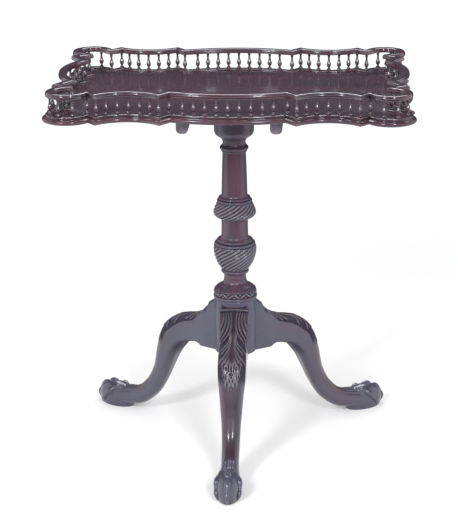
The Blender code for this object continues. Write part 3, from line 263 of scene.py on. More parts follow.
def store(mesh, name, values):
    kind = "FLOAT_VECTOR" if values.ndim == 2 else "FLOAT"
    made = mesh.attributes.new(name, kind, "POINT")
    made.data.foreach_set("vector" if values.ndim == 2 else "value", values.astype(np.float32).ravel())


def skin(name, points, grain, closed=False, **marks):
    """A skin over closed rows of points, capped at both ends unless the last row meets the first."""
    rows, columns = points.shape[:2]
    here = np.arange(rows * columns).reshape(rows, columns)
    beside, above = np.roll(here, -1, axis=1), np.roll(here, -1, axis=0)
    corners = np.stack([here, beside, np.roll(beside, -1, axis=0), above], axis=-1)
    faces = (corners if closed else corners[:-1]).reshape(-1, 4).tolist()
    if not closed:
        faces += [here[0][::-1].tolist(), here[-1].tolist()]
    mesh = bpy.data.meshes.new(name)
    mesh.from_pydata(points.reshape(-1, 3).tolist(), [], faces)
    store(mesh, "grain", grain.reshape(-1, 3))
    for mark, values in marks.items():
        store(mesh, mark, np.ravel(values))
    return outward(mesh)


def linked(name, data):
    made = bpy.data.objects.new(name, data)
    bpy.context.scene.collection.objects.link(made)
    return made


def shown(name, mesh, material=None, sharp=40.0):
    """A smooth piece with edges sharper than an angle in degrees kept sharp."""
    made = linked(name, mesh)
    if material:
        mesh.materials.clear()
        mesh.materials.append(material)
    mesh.shade_smooth()
    mesh.set_sharp_from_angle(angle=math.radians(sharp))
    return made


def settled(made):
    """The piece's mesh as its modifiers leave it; the piece then keeps that mesh and no modifiers."""
    bpy.context.view_layer.update()
    graph = bpy.context.evaluated_depsgraph_get()
    mesh = bpy.data.meshes.new_from_object(made.evaluated_get(graph))
    made.modifiers.clear()
    made.data = mesh
    return made


def swept(name, profile, closed, wooden_grain=True):
    """A moulding of (out, height) points, in metres, swept round the whole plan."""
    lengths = np.concatenate([[0.0], np.cumsum(np.abs(np.diff(quarter(MIDDLE))))])
    along = np.concatenate([lengths[:-1], lengths[:0:-1]] * 2)
    rows, grains = [], []
    for out, height in profile:
        loop = all_round(quarter(out))
        level = np.full(len(loop), height)
        rows.append(np.stack([loop.real, loop.imag, level], axis=-1))
        grains.append(np.stack([along, np.full(len(loop), out), level], axis=-1))
    points = np.array(rows)
    return skin(name, points, np.array(grains) if wooden_grain else points, closed)


def lifted(profile, foot):
    """A moulding given in millimetres, in metres and set on the height of its foot."""
    return [(out * MM, foot + height * MM) for out, height in profile]


# Node trees

class Tree:
    """A node tree in the making: nodes are added with their settings, and sockets or values fed in."""

    def __init__(self, tree):
        self.tree = tree

    def feed(self, socket, value):
        if isinstance(value, bpy.types.NodeSocket):
            self.tree.links.new(value, socket)
        else:
            socket.default_value = value

    def add(self, kind, feeds=None, **settings):
        made = self.tree.nodes.new(kind)
        for key, value in settings.items():
            setattr(made, key, value)
        for key, value in (feeds or {}).items():
            self.feed(made.inputs[key], value)
        return made

    def made(self, kind, feeds=None, **settings):
        """The first output of a new node."""
        return self.add(kind, feeds, **settings).outputs[0]

    def maths(self, operation, *terms):
        return self.made("ShaderNodeMath", dict(enumerate(terms)), operation=operation)

    def vectors(self, operation, *terms):
        return self.made("ShaderNodeVectorMath", dict(enumerate(terms)), operation=operation)

    def times(self, first, *others):
        for other in others:
            first = self.maths("MULTIPLY", first, other)
        return first

    def plus(self, one, other):
        return self.maths("ADD", one, other)

    def less(self, one, other):
        return self.maths("SUBTRACT", one, other)

    def apart(self, vector):
        """A vector's coordinates, by letter."""
        return self.add("ShaderNodeSeparateXYZ", {0: vector}).outputs

    def together(self, x=0.0, y=0.0, z=0.0):
        return self.made("ShaderNodeCombineXYZ", {"X": x, "Y": y, "Z": z})

    def position(self):
        return self.made("GeometryNodeInputPosition")

    def ranged(self, value, low, high, to_low=0.0, to_high=1.0, kind="SMOOTHSTEP"):
        feeds = {"Value": value, "From Min": low, "From Max": high, "To Min": to_low, "To Max": to_high}
        return self.made("ShaderNodeMapRange", feeds, interpolation_type=kind)

    def ended(self, results):
        """The finished tree, once its Group Output has its results."""
        self.add("NodeGroupOutput", results)
        return self.tree


def group_tree(name, kind, inputs, outputs):
    """A node group with its named inputs and outputs; returns it with its Group Input sockets."""
    made = bpy.data.node_groups.new(name, kind)
    for way, sockets in (("INPUT", inputs), ("OUTPUT", outputs)):
        for label, socket in sockets.items():
            made.interface.new_socket(label, in_out=way, socket_type="NodeSocket" + socket)
    tree = Tree(made)
    return tree, tree.add("NodeGroupInput").outputs


def shape_tree(name, inputs):
    """A geometry tree that takes up a piece's geometry, with its own named inputs."""
    shape = {"Geometry": "Geometry"}
    return group_tree(name, "GeometryNodeTree", {**shape, **inputs}, shape)


def stored(tree, geometry, name, value, kind="FLOAT", where=True):
    feeds = {"Geometry": geometry, "Selection": where, "Name": name, "Value": value}
    return tree.made("GeometryNodeStoreNamedAttribute", feeds, data_type=kind, domain="POINT")


def shape_result(tree, geometry, finish, grained=False):
    """Ends a geometry tree: instances made real, an upright grain where asked for, and the finish."""
    real = tree.made("GeometryNodeRealizeInstances", {"Geometry": geometry})
    if grained:
        spot = tree.apart(tree.position())
        real = stored(tree, real, "grain", tree.together(spot["Z"], spot["X"], spot["Y"]), "FLOAT_VECTOR")
    finished = tree.made("GeometryNodeSetMaterial", {"Geometry": real, "Material": finish})
    return tree.ended({"Geometry": finished})


def shape_with(made, group, values):
    """Puts a geometry tree on a piece, with the values of its named inputs."""
    step = made.modifiers.new(group.name, "NODES")
    step.node_group = group
    for item in group.interface.items_tree:
        if item.in_out == "INPUT" and item.name in values:
            step[item.identifier] = values[item.name]
    return made


def scattered(name, spots):
    """A bare mesh of points for a geometry tree to stand things on."""
    mesh = bpy.data.meshes.new(name)
    mesh.from_pydata(spots, [], [])
    return linked(name, mesh)


UPRIGHT = (0.0, 0.0, 1.0)


def out_from_axis(tree):
    """The level way outwards from the pillar's axis, at each point."""
    return tree.vectors("NORMALIZE", tree.vectors("MULTIPLY", tree.position(), (1.0, 1.0, 0.0)))


def stood(tree, points, piece, facing, spin):
    """A piece on every point, turned to a facing and then spun about its own upright."""
    spun = tree.made("FunctionNodeAxisAngleToRotation", {"Axis": UPRIGHT, "Angle": spin})
    feeds = {"Rotation": facing, "Rotate By": spun}
    turn = tree.made("FunctionNodeRotateRotation", feeds, rotation_space="LOCAL")
    feeds = {"Points": points, "Instance": piece, "Rotation": turn}
    return tree.made("GeometryNodeInstanceOnPoints", feeds)


# Shapes made by rule

BALUSTER_TURNING = (  # share of the height from the foot, and share of the widest radius
    (0.00, 0.80), (0.045, 0.86), (0.085, 0.92), (0.125, 0.80), (0.16, 0.46), (0.20, 0.46), (0.26, 0.74),
    (0.34, 0.97), (0.40, 1.00), (0.47, 0.90), (0.56, 0.66), (0.66, 0.50), (0.76, 0.43), (0.82, 0.44),
    (0.86, 0.62), (0.90, 0.66), (0.93, 0.52), (0.96, 0.70), (1.00, 0.74),
)


def baluster_row():
    """Turned balusters, standing on every point of the mesh that the tree is put on."""
    tree, given = shape_tree("baluster_row", {
        "Height": "Float", "Widest radius": "Float", "Sides": "Int", "Rings": "Int", "Wood": "Material",
    })
    stock = tree.made("GeometryNodeMeshCylinder", {
        "Vertices": given["Sides"], "Side Segments": given["Rings"], "Radius": 1.0,
        "Depth": given["Height"],
    })
    place = tree.apart(tree.position())
    share = tree.plus(tree.maths("DIVIDE", place["Z"], given["Height"]), 0.5)
    turning = tree.add("ShaderNodeFloatCurve", {"Value": share})
    points = turning.mapping.curves[0].points
    while len(points) < len(BALUSTER_TURNING):
        points.new(0.5, 0.5)
    for point, (up, out) in zip(points, BALUSTER_TURNING):
        point.location = (up, out)
    turning.mapping.update()
    radius = tree.times(turning.outputs[0], given["Widest radius"])
    half_high = tree.times(given["Height"], 0.5)
    turned = tree.together(
        tree.times(place["X"], radius), tree.times(place["Y"], radius), tree.plus(place["Z"], half_high),
    )
    baluster = tree.made("GeometryNodeSetPosition", {"Geometry": stock, "Position": turned})
    smoothed = tree.made("GeometryNodeSetShadeSmooth", {"Geometry": baluster})
    row = tree.made("GeometryNodeInstanceOnPoints", {"Points": given["Geometry"], "Instance": smoothed})
    return shape_result(tree, row, given["Wood"], grained=True)


RIDGE_LEAN, RIDGE_FULLNESS = 1.5, 0.62  # how late a ridge is highest, and how full its round is


def spiral_carving():
    """Spiral ridges cut into a turned swelling; each climbs its face and drops to the next."""
    tree, given = shape_tree("spiral_carving", {
        "Foot": "Float", "Head": "Float", "Ridges": "Int", "Depth": "Float", "Turn": "Float",
        "Ends": "Float", "Wood": "Material",
    })
    place = tree.apart(tree.position())
    share = tree.ranged(place["Z"], given["Foot"], given["Head"], kind="LINEAR")
    angle = tree.maths("ARCTAN2", place["Y"], place["X"])
    wound = tree.less(angle, tree.times(share, given["Turn"]))
    phase = tree.maths("FRACT", tree.maths("DIVIDE", tree.times(wound, given["Ridges"]), 2 * math.pi))
    lean = tree.maths("POWER", phase, RIDGE_LEAN)
    ridge = tree.maths("POWER", tree.maths("SINE", tree.times(lean, math.pi)), RIDGE_FULLNESS)
    rise = tree.ranged(share, 0.0, given["Ends"])
    fall = tree.ranged(share, 1.0, tree.less(1.0, given["Ends"]))
    inner = tree.times(rise, fall)
    cut = tree.times(tree.less(1.0, ridge), inner)
    # Painted light and shade: the ridges' crowns are painted lighter and the grooves between them darker
    light_and_shade = tree.times(tree.less(tree.times(ridge, 2.0), 1.0), inner)
    depth = tree.times(cut, given["Depth"], -1.0)
    inwards = tree.made("ShaderNodeVectorMath", {0: out_from_axis(tree), "Scale": depth}, operation="SCALE")
    over_foot = tree.maths("GREATER_THAN", place["Z"], given["Foot"])
    inside = tree.times(over_foot, tree.maths("LESS_THAN", place["Z"], given["Head"]))
    toned = stored(tree, given["Geometry"], "carved", light_and_shade, where=inside)
    feeds = {"Geometry": toned, "Selection": inside, "Offset": inwards}
    return shape_result(tree, tree.made("GeometryNodeSetPosition", feeds), given["Wood"])


LEAF_SEGMENTS, LEAF_RINGS = 16, 12
LEAF_TAPER = 0.35  # of the width, lost towards both ends
LEAF_CROWN, LEAF_SWELL, GROOVE_BEND = 0.45, 0.75, 0.45  # height in the groove, rise beside it, its bend
LEAF_SHADING = (2.4, 0.9)  # how fast the painted light rises towards a leaf's crown, and how deep the painted shade is at its rim


def leaf_band():
    """A row of carved leaves round the pillar, one on every point, facing outwards and tilted."""
    tree, given = shape_tree("leaf_band", {
        "Length": "Float", "Width": "Float", "Relief": "Float", "Tilt": "Float", "Wood": "Material",
    })
    stock = tree.made("GeometryNodeMeshUVSphere", {
        "Segments": LEAF_SEGMENTS, "Rings": LEAF_RINGS, "Radius": 1.0,
    })
    place = tree.apart(tree.position())
    taper = tree.less(1.0, tree.times(place["X"], place["X"], LEAF_TAPER))
    groove = tree.maths("POWER", tree.maths("ABSOLUTE", place["Y"]), GROOVE_BEND)
    crown = tree.plus(LEAF_CROWN, tree.times(groove, LEAF_SWELL))
    shaped = tree.together(
        tree.times(place["X"], tree.times(given["Length"], 0.5)),
        tree.times(place["Y"], taper, tree.times(given["Width"], 0.5)),
        tree.times(place["Z"], crown, given["Relief"]),
    )
    # Painted light and shade: each leaf is painted lighter on its crown and darker towards its rim
    steep, dark = LEAF_SHADING
    toned = stored(tree, stock, "carved", tree.less(tree.times(place["Z"], steep), dark))
    leaf = tree.made("GeometryNodeSetPosition", {"Geometry": toned, "Position": shaped})
    smoothed = tree.made("GeometryNodeSetShadeSmooth", {"Geometry": leaf})
    axes = {"Primary Axis": out_from_axis(tree), "Secondary Axis": UPRIGHT}
    facing = tree.made("FunctionNodeAxesToRotation", axes, primary_axis="Z", secondary_axis="Y")
    leaves = stood(tree, given["Geometry"], smoothed, facing, given["Tilt"])
    return shape_result(tree, leaves, given["Wood"], grained=True)


# Pillar

def bead(low, high, inner, outer, steps=8):
    """A half-round moulding, from its lower edge to its upper one."""
    made = []
    for t in np.linspace(0.0, math.pi, steps + 1):
        made.append((inner + (outer - inner) * math.sin(t), low + (high - low) * (1 - math.cos(t)) / 2))
    return made


def smooth(values, share):
    """Values on the smooth curve through evenly spaced ones, at shares from 0 to 1."""
    values, last = np.asarray(values, float), len(values) - 1
    place = np.clip(np.asarray(share) * last, 0, last)
    k = np.minimum(place.astype(int), last - 1)
    u = place - k
    before, start = values[np.maximum(k - 1, 0)], values[k]
    end, after = values[k + 1], values[np.minimum(k + 2, last)]
    bend = (2 * before - 5 * start + 4 * end - after) * u * u
    return start + 0.5 * ((end - before) * u + bend + (3 * start - before - 3 * end + after) * u ** 3)


def sweep_through(points, steps):
    """A smooth moulding through (radius, height) points."""
    share = np.linspace(0.0, 1.0, steps + 1)
    return list(zip(smooth([p[0] for p in points], share), smooth([p[1] for p in points], share)))


VASE = (345.2, 393.9)  # foot and head of the lower swelling, in millimetres
SWELL = (447.0, 479.3)  # and of the upper one
BAND, BAND_SHADE = (294.4, 303.9), -0.9  # the band of carved leaves, and the painted shade on its ground


def pillar_profile():
    """Radius and height up the pillar, from the drum's foot to the top of its tenon."""
    rows = [(39.8, 178.5), (40.5, 178.8), (40.8, 179.6), (40.8, 230.0), (40.8, 285.8), (40.6, 286.8)]
    rows += [(40.1, 287.6)]
    rows += bead(287.8, 293.8, 40.2, 42.4) + [(39.4, 294.2)] + bead(294.6, 303.6, 38.9, 39.9, 10)
    rows += [(39.9, 304.0), (40.4, 304.6), (40.2, 305.6)]
    shoulder = [(39.2, 306.2), (35.4, 310), (28.6, 314), (24.4, 317.2), (22.4, 321), (21.4, 326)]
    rows += sweep_through(shoulder + [(21.2, 331), (21.8, 335), (22.8, 337)], 26)
    rows += bead(337.4, 344.6, 23.4, 26.8, 10)
    vase = [(25.4, 345.2), (31.4, 353), (35.7, 361), (38.6, 369), (40.7, 377), (41.6, 385), (41.2, 391)]
    rows += sweep_through(vase + [(39.8, 393.9)], 56)
    rows += bead(394.2, 399.8, 37.4, 39.6) + bead(400.2, 405.6, 32.8, 35.0)
    neck = [(29.4, 406), (27.4, 408.2), (26.2, 411), (25.6, 420), (25.4, 434), (25.4, 445)]
    rows += sweep_through(neck, 14)
    swell = [(25.8, 446.4), (34, 449.4), (39.3, 453.8), (41.2, 460), (39.2, 467), (36.3, 474)]
    rows += sweep_through(swell + [(33.8, 479.3)], 44)
    rows += bead(479.6, 484.8, 32.0, 33.8) + bead(485.2, 489.6, 29.0, 31.0)
    rows += sweep_through([(27.0, 490), (25.4, 492), (24.8, 494.8)], 5)
    rows += sweep_through([(24.75, 496), (24.3, 515), (23.5, 545), (22.5, 572), (22.2, 578.4)], 16)
    rows += [(24.2, 578.8), (24.6, 579.4), (24.6, 581.2), (24.2, 581.9)]
    rows += bead(582.2, 589.8, 23.6, 27.4, 12)
    rows += [(24.0, 590.2), (24.0, 591.2)] + sweep_through([(23.0, 591.7), (21.9, 595), (21.3, 599.4)], 6)
    rows += [(22.6, 600.0), (23.0, 600.5), (23.0, 602.3), (22.8, 603.0)]
    capital = [(24.0, 603.4), (28.3, 607), (33.6, 610.6), (36.6, 614.6), (37.8, 619.4), (38, 625)]
    rows += sweep_through(capital, 16)
    rows += [(38.0, 636.0), (38.0, 648.6), (37.6, 649.6), (36.8, 650.0)]
    rows += [(17.0, 650.0), (17.0, 679.6), (16.6, 680.1)]
    return np.array(rows) * MM  # the rows above are in millimetres


PILLAR_SHEEN_OFF = (  # height in millimetres, and how free of wax bloom and painted sheen the wood is kept there, which paints it darker
    (178, 0.0), (293, 0.0), (294.5, 1.0), (303.5, 1.0), (306, 0.55), (335, 0.7), (345, 0.25), (394, 0.2),
    (407, 0.6), (444, 0.75), (449, 0.2), (479, 0.2), (496, 0.85), (578, 0.9), (583, 0.4), (600, 0.6),
    (606, 0.35), (650, 0.35),
)


def turned_pillar():
    """The pillar as it comes off the lathe, with painted shade on the band's ground, and how much grey of
    wax and painted sheen is kept off at each height.
    """
    profile = pillar_profile()
    whole = (len(profile), PILLAR_SIDES)
    turns = np.linspace(0.0, 2 * math.pi, PILLAR_SIDES, endpoint=False)
    radius, height = profile[:, :1], profile[:, 1:]
    level = np.broadcast_to(height, whole)
    points = np.stack([radius * np.cos(turns), radius * np.sin(turns), level], axis=-1)
    # Painted shade on the sunk ground of the leaf band
    sunk = np.where((height > BAND[0] * MM) & (height < BAND[1] * MM), BAND_SHADE, 0.0)
    # Painted light: grey sheen is left off where the pillar is to read darker, the capital in the top's
    # shade among them
    rubbed = np.interp(height / MM, *np.transpose(PILLAR_SHEEN_OFF))
    return skin("pillar", points, points[..., [2, 0, 1]], carved=np.broadcast_to(sunk, whole),
                rubbed=np.broadcast_to(rubbed, whole))


# Legs, built along +X and then turned into place

LEG_STATIONS = (  # crest reach and height, belly reach and height, width, share of it that is rounded
    (0.0280, 0.2870, 0.0280, 0.1780, 0.0530, 0.06),
    (0.0638, 0.2548, 0.0632, 0.1780, 0.0530, 0.08),
    (0.0795, 0.2435, 0.0720, 0.1820, 0.0530, 0.10),
    (0.0961, 0.2372, 0.0838, 0.1838, 0.0530, 0.13),
    (0.1373, 0.2250, 0.1100, 0.1755, 0.0530, 0.21),
    (0.1659, 0.1993, 0.1240, 0.1605, 0.0530, 0.30),
    (0.1822, 0.1529, 0.1385, 0.1385, 0.0460, 0.39),
    (0.1893, 0.1226, 0.1530, 0.1075, 0.0410, 0.44),
    (0.1948, 0.1054, 0.1650, 0.0815, 0.0370, 0.47),
    (0.2110, 0.0754, 0.1880, 0.0445, 0.0340, 0.49),
    (0.2390, 0.0490, 0.2209, 0.0172, 0.0335, 0.49),
    (0.2640, 0.0415, 0.2525, 0.0086, 0.0395, 0.49),
    (0.2900, 0.0370, 0.2800, 0.0090, 0.0440, 0.49),
)
# How far the crest falls to its sides, at each station
CREST_DOME = (0.0, 0.0030, 0.0080, 0.0090, 0.0075, 0.0045, 0.0015, 0, 0, 0, 0, 0, 0)
ROUND_TALL, ROUND_WIDE = 0.98, 0.49  # most rounding, as shares of a section's half height and width
BELLY_ROUND = 0.9  # rounding of the belly's corners, as a share of the crest's
BELLY_SHADE, BELLY_FADE = -0.6, (0.165, 0.198)  # the painted shade on the belly, and where it fades out
BELLY_EDGE = 0.25  # share of its girth over which that painted shade comes in
STRAP_REACH = 0.0632  # the leg's underside is flat up to here
CREST_POINTS, BELLY_POINTS, SIDE_POINTS = 121, 25, 9
CARVED_SHARE = 0.5  # share of the leg's stations that the carving reaches
CARVED_RINGS, PLAIN_RINGS = 320, 84
CREST_START = -0.0044  # measure down the crest at the first station
SCROLL = (0.0098, 0.0185, 0.0035)  # start, end and rise of the roll where the crest meets the drum
SCROLL_EDGE = (0.0262, 0.0275)  # where it ends, across the crest
QUIRK_BEFORE, QUIRK_AFTER, QUIRK_HALF = 0.003, 0.001, 0.0270  # the quirk on both sides of the roll
QUIRK_SHADOW = 0.8  # how dark the painted shadow in it is
LEAF_START, LEAF_END = 0.0195, 0.2080  # the carved leaf, down the crest
LEAF_BORDER, LEAF_FADE = 0.002, 0.160  # how fast its ground sinks, and where it starts to rise again
LEAF_HALF, LEAF_MARGIN = 0.0266, 0.0012  # half its width by the drum, and the slope at its edge
KNEE_SPREAD, KNEE_RUN = 0.0070, (0.09, 0.14)  # how much wider it is round the knee, and where that comes
LEAF_BEYOND = (LEAF_END + 0.012, 0.034)  # no frond comes further down the crest or across it
# Tiers of fronds: how many, then four points of the outermost one and four of the innermost
FROND_TIERS = (
    (5, ((0.0195, 0.0262), (0.0250, 0.0250), (0.0300, 0.0250), (0.0390, 0.0280)),
     ((0.0195, 0.0072), (0.0450, 0.0010), (0.0650, 0.0020), (0.0930, 0.0238))),
    (2, ((0.0195, 0.0046), (0.0260, 0.0034), (0.0310, 0.0020), (0.0390, 0.0004)),
     ((0.0195, 0.0014), (0.0230, 0.0011), (0.0260, 0.0008), (0.0300, 0.0002))),
    (3, ((0.0600, 0.0070), (0.0880, 0.0045), (0.1050, 0.0060), (0.1210, 0.0240)),
     ((0.0660, 0.0020), (0.0950, 0.0016), (0.1150, 0.0016), (0.1340, 0.0120))),
    (3, ((0.1060, 0.0070), (0.1220, 0.0045), (0.1330, 0.0060), (0.1470, 0.0225)),
     ((0.1100, 0.0020), (0.1300, 0.0016), (0.1440, 0.0016), (0.1600, 0.0110))),
)
FROND_STEPS = 48
FROND_HALF = (0.0010, 0.0032)  # narrowest and widest half of a frond
FROND_FILL = 0.41  # half a frond, as a share of the room between two
FROND_RISE, FULL_RISE_HALF = 0.0026, 0.0022  # most height, and the half-width that has it
FROND_TIP = (0.82, 0.18, 1.02)  # where the rounded tip starts, how long it is, how blunt it ends
FROND_SHADE, VEIN_SHADE = 2.4, 0.9  # how fast the painted shade deepens towards a frond's edge and into its vein
VEIN_WIDTH, VEIN_DEPTH = 0.20, 0.4  # shares of a frond's half-width and height
VEIN_HALVES = (0.0013, 0.0019)  # half-widths of a frond between which its vein comes in
STEM, STEM_HALF = ((0.0420, 0.0), (0.090, 0.0), (0.140, 0.0), (0.196, 0.0)), 0.0012
STEM_EDGE, STEM_END = (0.0010, 0.0055), (0.138, 0.147)  # the plain stem's edges, and where it ends
FLECKS, FLECK_SEED = 26, 11
FLECK_START, FLECK_GAP = 0.144, 0.0019  # the first one, and from each to the next, down the crest
FLECK_ACROSS, FLECK_CLOSING = (0.0006, 0.0160), 0.5  # from the middle, and how much closer the last one is
FLECK_RUN, FLECK_SWAY, FLECK_HALF = (0.005, 0.009, 0.014), 0.0030, 0.0010
GROUND_SUNK, LEAST_RELIEF = 0.0022, 0.0003  # depth of the ground, and the least height that counts as leaf
CREST_EDGE, CREST_FADE = (0.010, 0.024), 0.01  # the crest kept free of wax bloom and painted sheen: its edges, and how fast it starts
TENDONS = ((0.0, 0.0), (0.0052, 0.0125))  # distance across the instep, where each tendon starts and ends
TENDON_RUN = (0.318, 0.350, 0.420)  # start, full height and end, down the crest
TENDON_HALF, TENDON_RISE = 0.0046, 0.0034


def step_up(value, low, high):
    share = np.clip((value - low) / (high - low), 0.0, 1.0)
    return share * share * (3 - 2 * share)


def bent_line(points):
    """The bend that leaves the first point towards the second and comes to the fourth from the third."""
    t = np.linspace(0.0, 1.0, FROND_STEPS)[:, None]
    weights = ((1 - t) ** 3, 3 * t * (1 - t) ** 2, 3 * t * t * (1 - t), t ** 3)
    return sum(weight * np.array(point) for weight, point in zip(weights, points))


def with_tip(line, half):
    """A frond: its middle line, its half-width with a rounded tip, and its height at each point."""
    t = np.linspace(0.0, 1.0, FROND_STEPS)
    half = np.clip(half, *FROND_HALF)
    rise = FROND_RISE * np.clip(half / FULL_RISE_HALF, 0.5, 1.0)
    start, length, blunt = FROND_TIP
    return line, half * np.sqrt(blunt - np.clip((t - start) / length, 0.0, 1.0) ** 2), rise


def fronds():
    """The leaf's fronds on one half of the crest, as (distance down the crest, distance across it)."""
    made = [with_tip(bent_line(STEM), np.full(FROND_STEPS, STEM_HALF))]
    for count, outer, inner in FROND_TIERS:
        outer, inner = np.array(outer), np.array(inner)
        lines = np.array([bent_line(outer + (inner - outer) * j / (count - 1)) for j in range(count)])
        room = np.linalg.norm(np.diff(lines, axis=0), axis=2)
        half = np.concatenate([room[:1], (room[1:] + room[:-1]) / 2, room[-1:]]) * FROND_FILL
        made += [with_tip(*one) for one in zip(lines, half)]
    chance = np.random.default_rng(FLECK_SEED)
    first, second, last = FLECK_RUN
    for k in range(FLECKS):
        down = FLECK_START + FLECK_GAP * k
        across = chance.uniform(*FLECK_ACROSS) * (1 - FLECK_CLOSING * k / FLECKS)
        sway = chance.uniform(-FLECK_SWAY, FLECK_SWAY)
        points = ((down, across), (down + first, across + sway), (down + second, across - sway),
                  (down + last, across))
        made.append(with_tip(bent_line(points), np.full(FROND_STEPS, FLECK_HALF)))
    return made


def acanthus(down, across):
    """The carving's height over the crest, its painted light and shade from ground (-1) to ridge (1), and
    where grey sheen is kept off.
    """
    spread = 1 + KNEE_SPREAD / LEAF_HALF * step_up(down, *KNEE_RUN)
    across = np.abs(across) / spread
    ground = step_up(down, LEAF_START - LEAF_BORDER, LEAF_START) * (1 - step_up(down, LEAF_FADE, LEAF_END))
    ground = ground * (1 - step_up(across, LEAF_HALF - LEAF_MARGIN, LEAF_HALF))
    leaf, light = np.zeros_like(down), np.full_like(down, -1.0)
    near = (down < LEAF_BEYOND[0]) & (across < LEAF_BEYOND[1])
    spot = np.stack([down[near], across[near]], axis=-1)
    best, lit = np.zeros(len(spot)), np.full(len(spot), -1.0)
    for line, half, rise in fronds():
        gap = np.hypot(spot[:, :1] - line[:, 0], spot[:, 1:] - line[:, 1]) / half
        k = gap.argmin(axis=1)
        q = np.minimum(gap[np.arange(len(gap)), k], 1.0)
        vein = np.exp(-((q / VEIN_WIDTH) ** 2)) * step_up(half[k], *VEIN_HALVES)
        height = rise[k] * np.sqrt(1 - q * q) * (1 - VEIN_DEPTH * vein)
        light_and_shade = np.clip(1 - FROND_SHADE * q * q - VEIN_SHADE * vein, -1.0, 1.0)
        lit = np.where(height > best, light_and_shade, lit)
        best = np.maximum(best, height)
    leaf[near], light[near] = best, lit
    off_stem = np.maximum(step_up(across, *STEM_EDGE), step_up(down, *STEM_END))
    light = np.where(light > 0, light * off_stem, light)
    low, high, rise = SCROLL
    roll = np.sqrt(np.clip(1 - ((down - (low + high) / 2) / ((high - low) / 2)) ** 2, 0.0, 1.0))
    roll = roll * (1 - step_up(across, *SCROLL_EDGE))
    # Painted light and shade: fronds lit along their middles, in shade at their edges, in their veins and
    # on the sunk ground
    light_and_shade = light * np.maximum(ground, leaf > LEAST_RELIEF)
    quirk = (down > low - QUIRK_BEFORE) & (down < LEAF_START + QUIRK_AFTER) & (across < QUIRK_HALF)
    # Painted shadow of the roll in its quirk, lighter towards the roll's crown
    light_and_shade = np.where(quirk, roll * roll - QUIRK_SHADOW, light_and_shade)
    start, full, end = TENDON_RUN
    instep = step_up(down, start, full)
    for from_middle, to_middle in TENDONS:
        middle = from_middle + (to_middle - from_middle) * np.clip((down - start) / (end - start), 0.0, 1.0)
        crown = np.sqrt(np.clip(1 - ((across - middle) / TENDON_HALF) ** 2, 0.0, 1.0))
        leaf = np.maximum(leaf, TENDON_RISE * crown * instep)
    # Painted reflection: grey sheen is kept off the crest, the carving's ground and its lit fronds, so they
    # read dark and red
    crest = (1 - step_up(across, *CREST_EDGE)) * step_up(down, LEAF_START, LEAF_START + CREST_FADE)
    rubbed = np.maximum(np.maximum(ground, light_and_shade > 0.0), crest * (1 - instep))
    return rise * roll + leaf - GROUND_SUNK * ground, light_and_shade, rubbed


def rounded_half(shares, width, tall, radius):
    """Across, up and girth from the middle over a section's rounded half, at shares of its girth."""
    flat = width / 2 - radius
    girth = np.abs(shares) * (flat + radius * math.pi / 2)
    turn = np.clip((girth - flat) / radius, 0.0, math.pi / 2)
    across = np.sign(shares) * (np.minimum(girth, flat) + radius * np.sin(turn))
    return across, tall - radius * (1 - np.cos(turn)), girth


def leg_skin():
    """The leg from the drum to its instep, a section at a time, with the carving raised over it."""
    share = np.concatenate([
        np.linspace(0.0, CARVED_SHARE, CARVED_RINGS, endpoint=False),
        np.linspace(CARVED_SHARE, 1.0, PLAIN_RINGS),
    ])
    reach, height, belly, floor, width, rounding = (smooth(v, share)[:, None] for v in zip(*LEG_STATIONS))
    floor = np.where(belly < STRAP_REACH, np.maximum(floor, DRUM_FOOT), floor)
    tall = np.hypot(reach - belly, height - floor) / 2
    lean = np.arctan2(reach - belly, height - floor)
    radius = np.minimum(np.minimum(rounding * width, tall * ROUND_TALL), width * ROUND_WIDE)
    crest_across, crest_up, girth = rounded_half(np.linspace(1, -1, CREST_POINTS), width, tall, radius)
    belly_shares = np.linspace(-1, 1, BELLY_POINTS)
    belly_across, belly_up, _ = rounded_half(belly_shares, width, tall, radius * BELLY_ROUND)
    dome = np.maximum(smooth(CREST_DOME, share)[:, None], 0.0)
    crest_up = crest_up - dome * (crest_across / (width / 2)) ** 2
    side_top, side_foot = tall - radius - dome, radius * BELLY_ROUND - tall
    fall = side_top + (side_foot - side_top) * np.linspace(0, 1, SIDE_POINTS + 2)[1:-1]
    side = np.broadcast_to(width / 2, fall.shape)
    across = np.concatenate([crest_across, -side, belly_across, side], axis=1)
    up = np.concatenate([crest_up, fall, -belly_up, fall[:, ::-1]], axis=1)
    rest = np.full((len(share), across.shape[1] - CREST_POINTS), 1.0)
    girth = np.concatenate([girth, rest], axis=1)
    under = tall - up
    points = np.stack([reach - np.sin(lean) * under, across, height - np.cos(lean) * under], axis=-1)
    crest = np.concatenate([reach, height], axis=1)
    run = CREST_START + np.concatenate([[0.0], np.cumsum(np.hypot(*np.diff(crest, axis=0).T))])[:, None]
    down = np.broadcast_to(run, across.shape)
    raised, light_and_shade, rubbed = acanthus(down, girth)
    # Painted shade along the belly, where the leg's underside turns away from the light
    behind = step_up(1 - np.abs(belly_shares), 0.0, BELLY_EDGE) * (1 - step_up(reach, *BELLY_FADE))
    light_and_shade[:, CREST_POINTS + SIDE_POINTS:-SIDE_POINTS] = BELLY_SHADE * behind
    ahead = np.gradient(points, axis=0)
    around = np.roll(points, -1, axis=1) - np.roll(points, 1, axis=1)
    normal = np.cross(around, ahead)
    normal /= np.maximum(np.linalg.norm(normal, axis=-1, keepdims=True), 1e-12)
    from_middle = points - points.mean(axis=1, keepdims=True)
    normal *= np.sign(np.sum(normal * from_middle, axis=-1, keepdims=True))
    points = points + normal * raised[..., None]
    return skin("leg", points, np.stack([down, across, up], axis=-1), carved=light_and_shade, rubbed=rubbed)


BALL_CENTRE = (FOOT_REACH, 0, BALL_SIZE[2] / 2 - BALL_SUNK)
BALL_SEGMENTS, BALL_RINGS = 72, 48


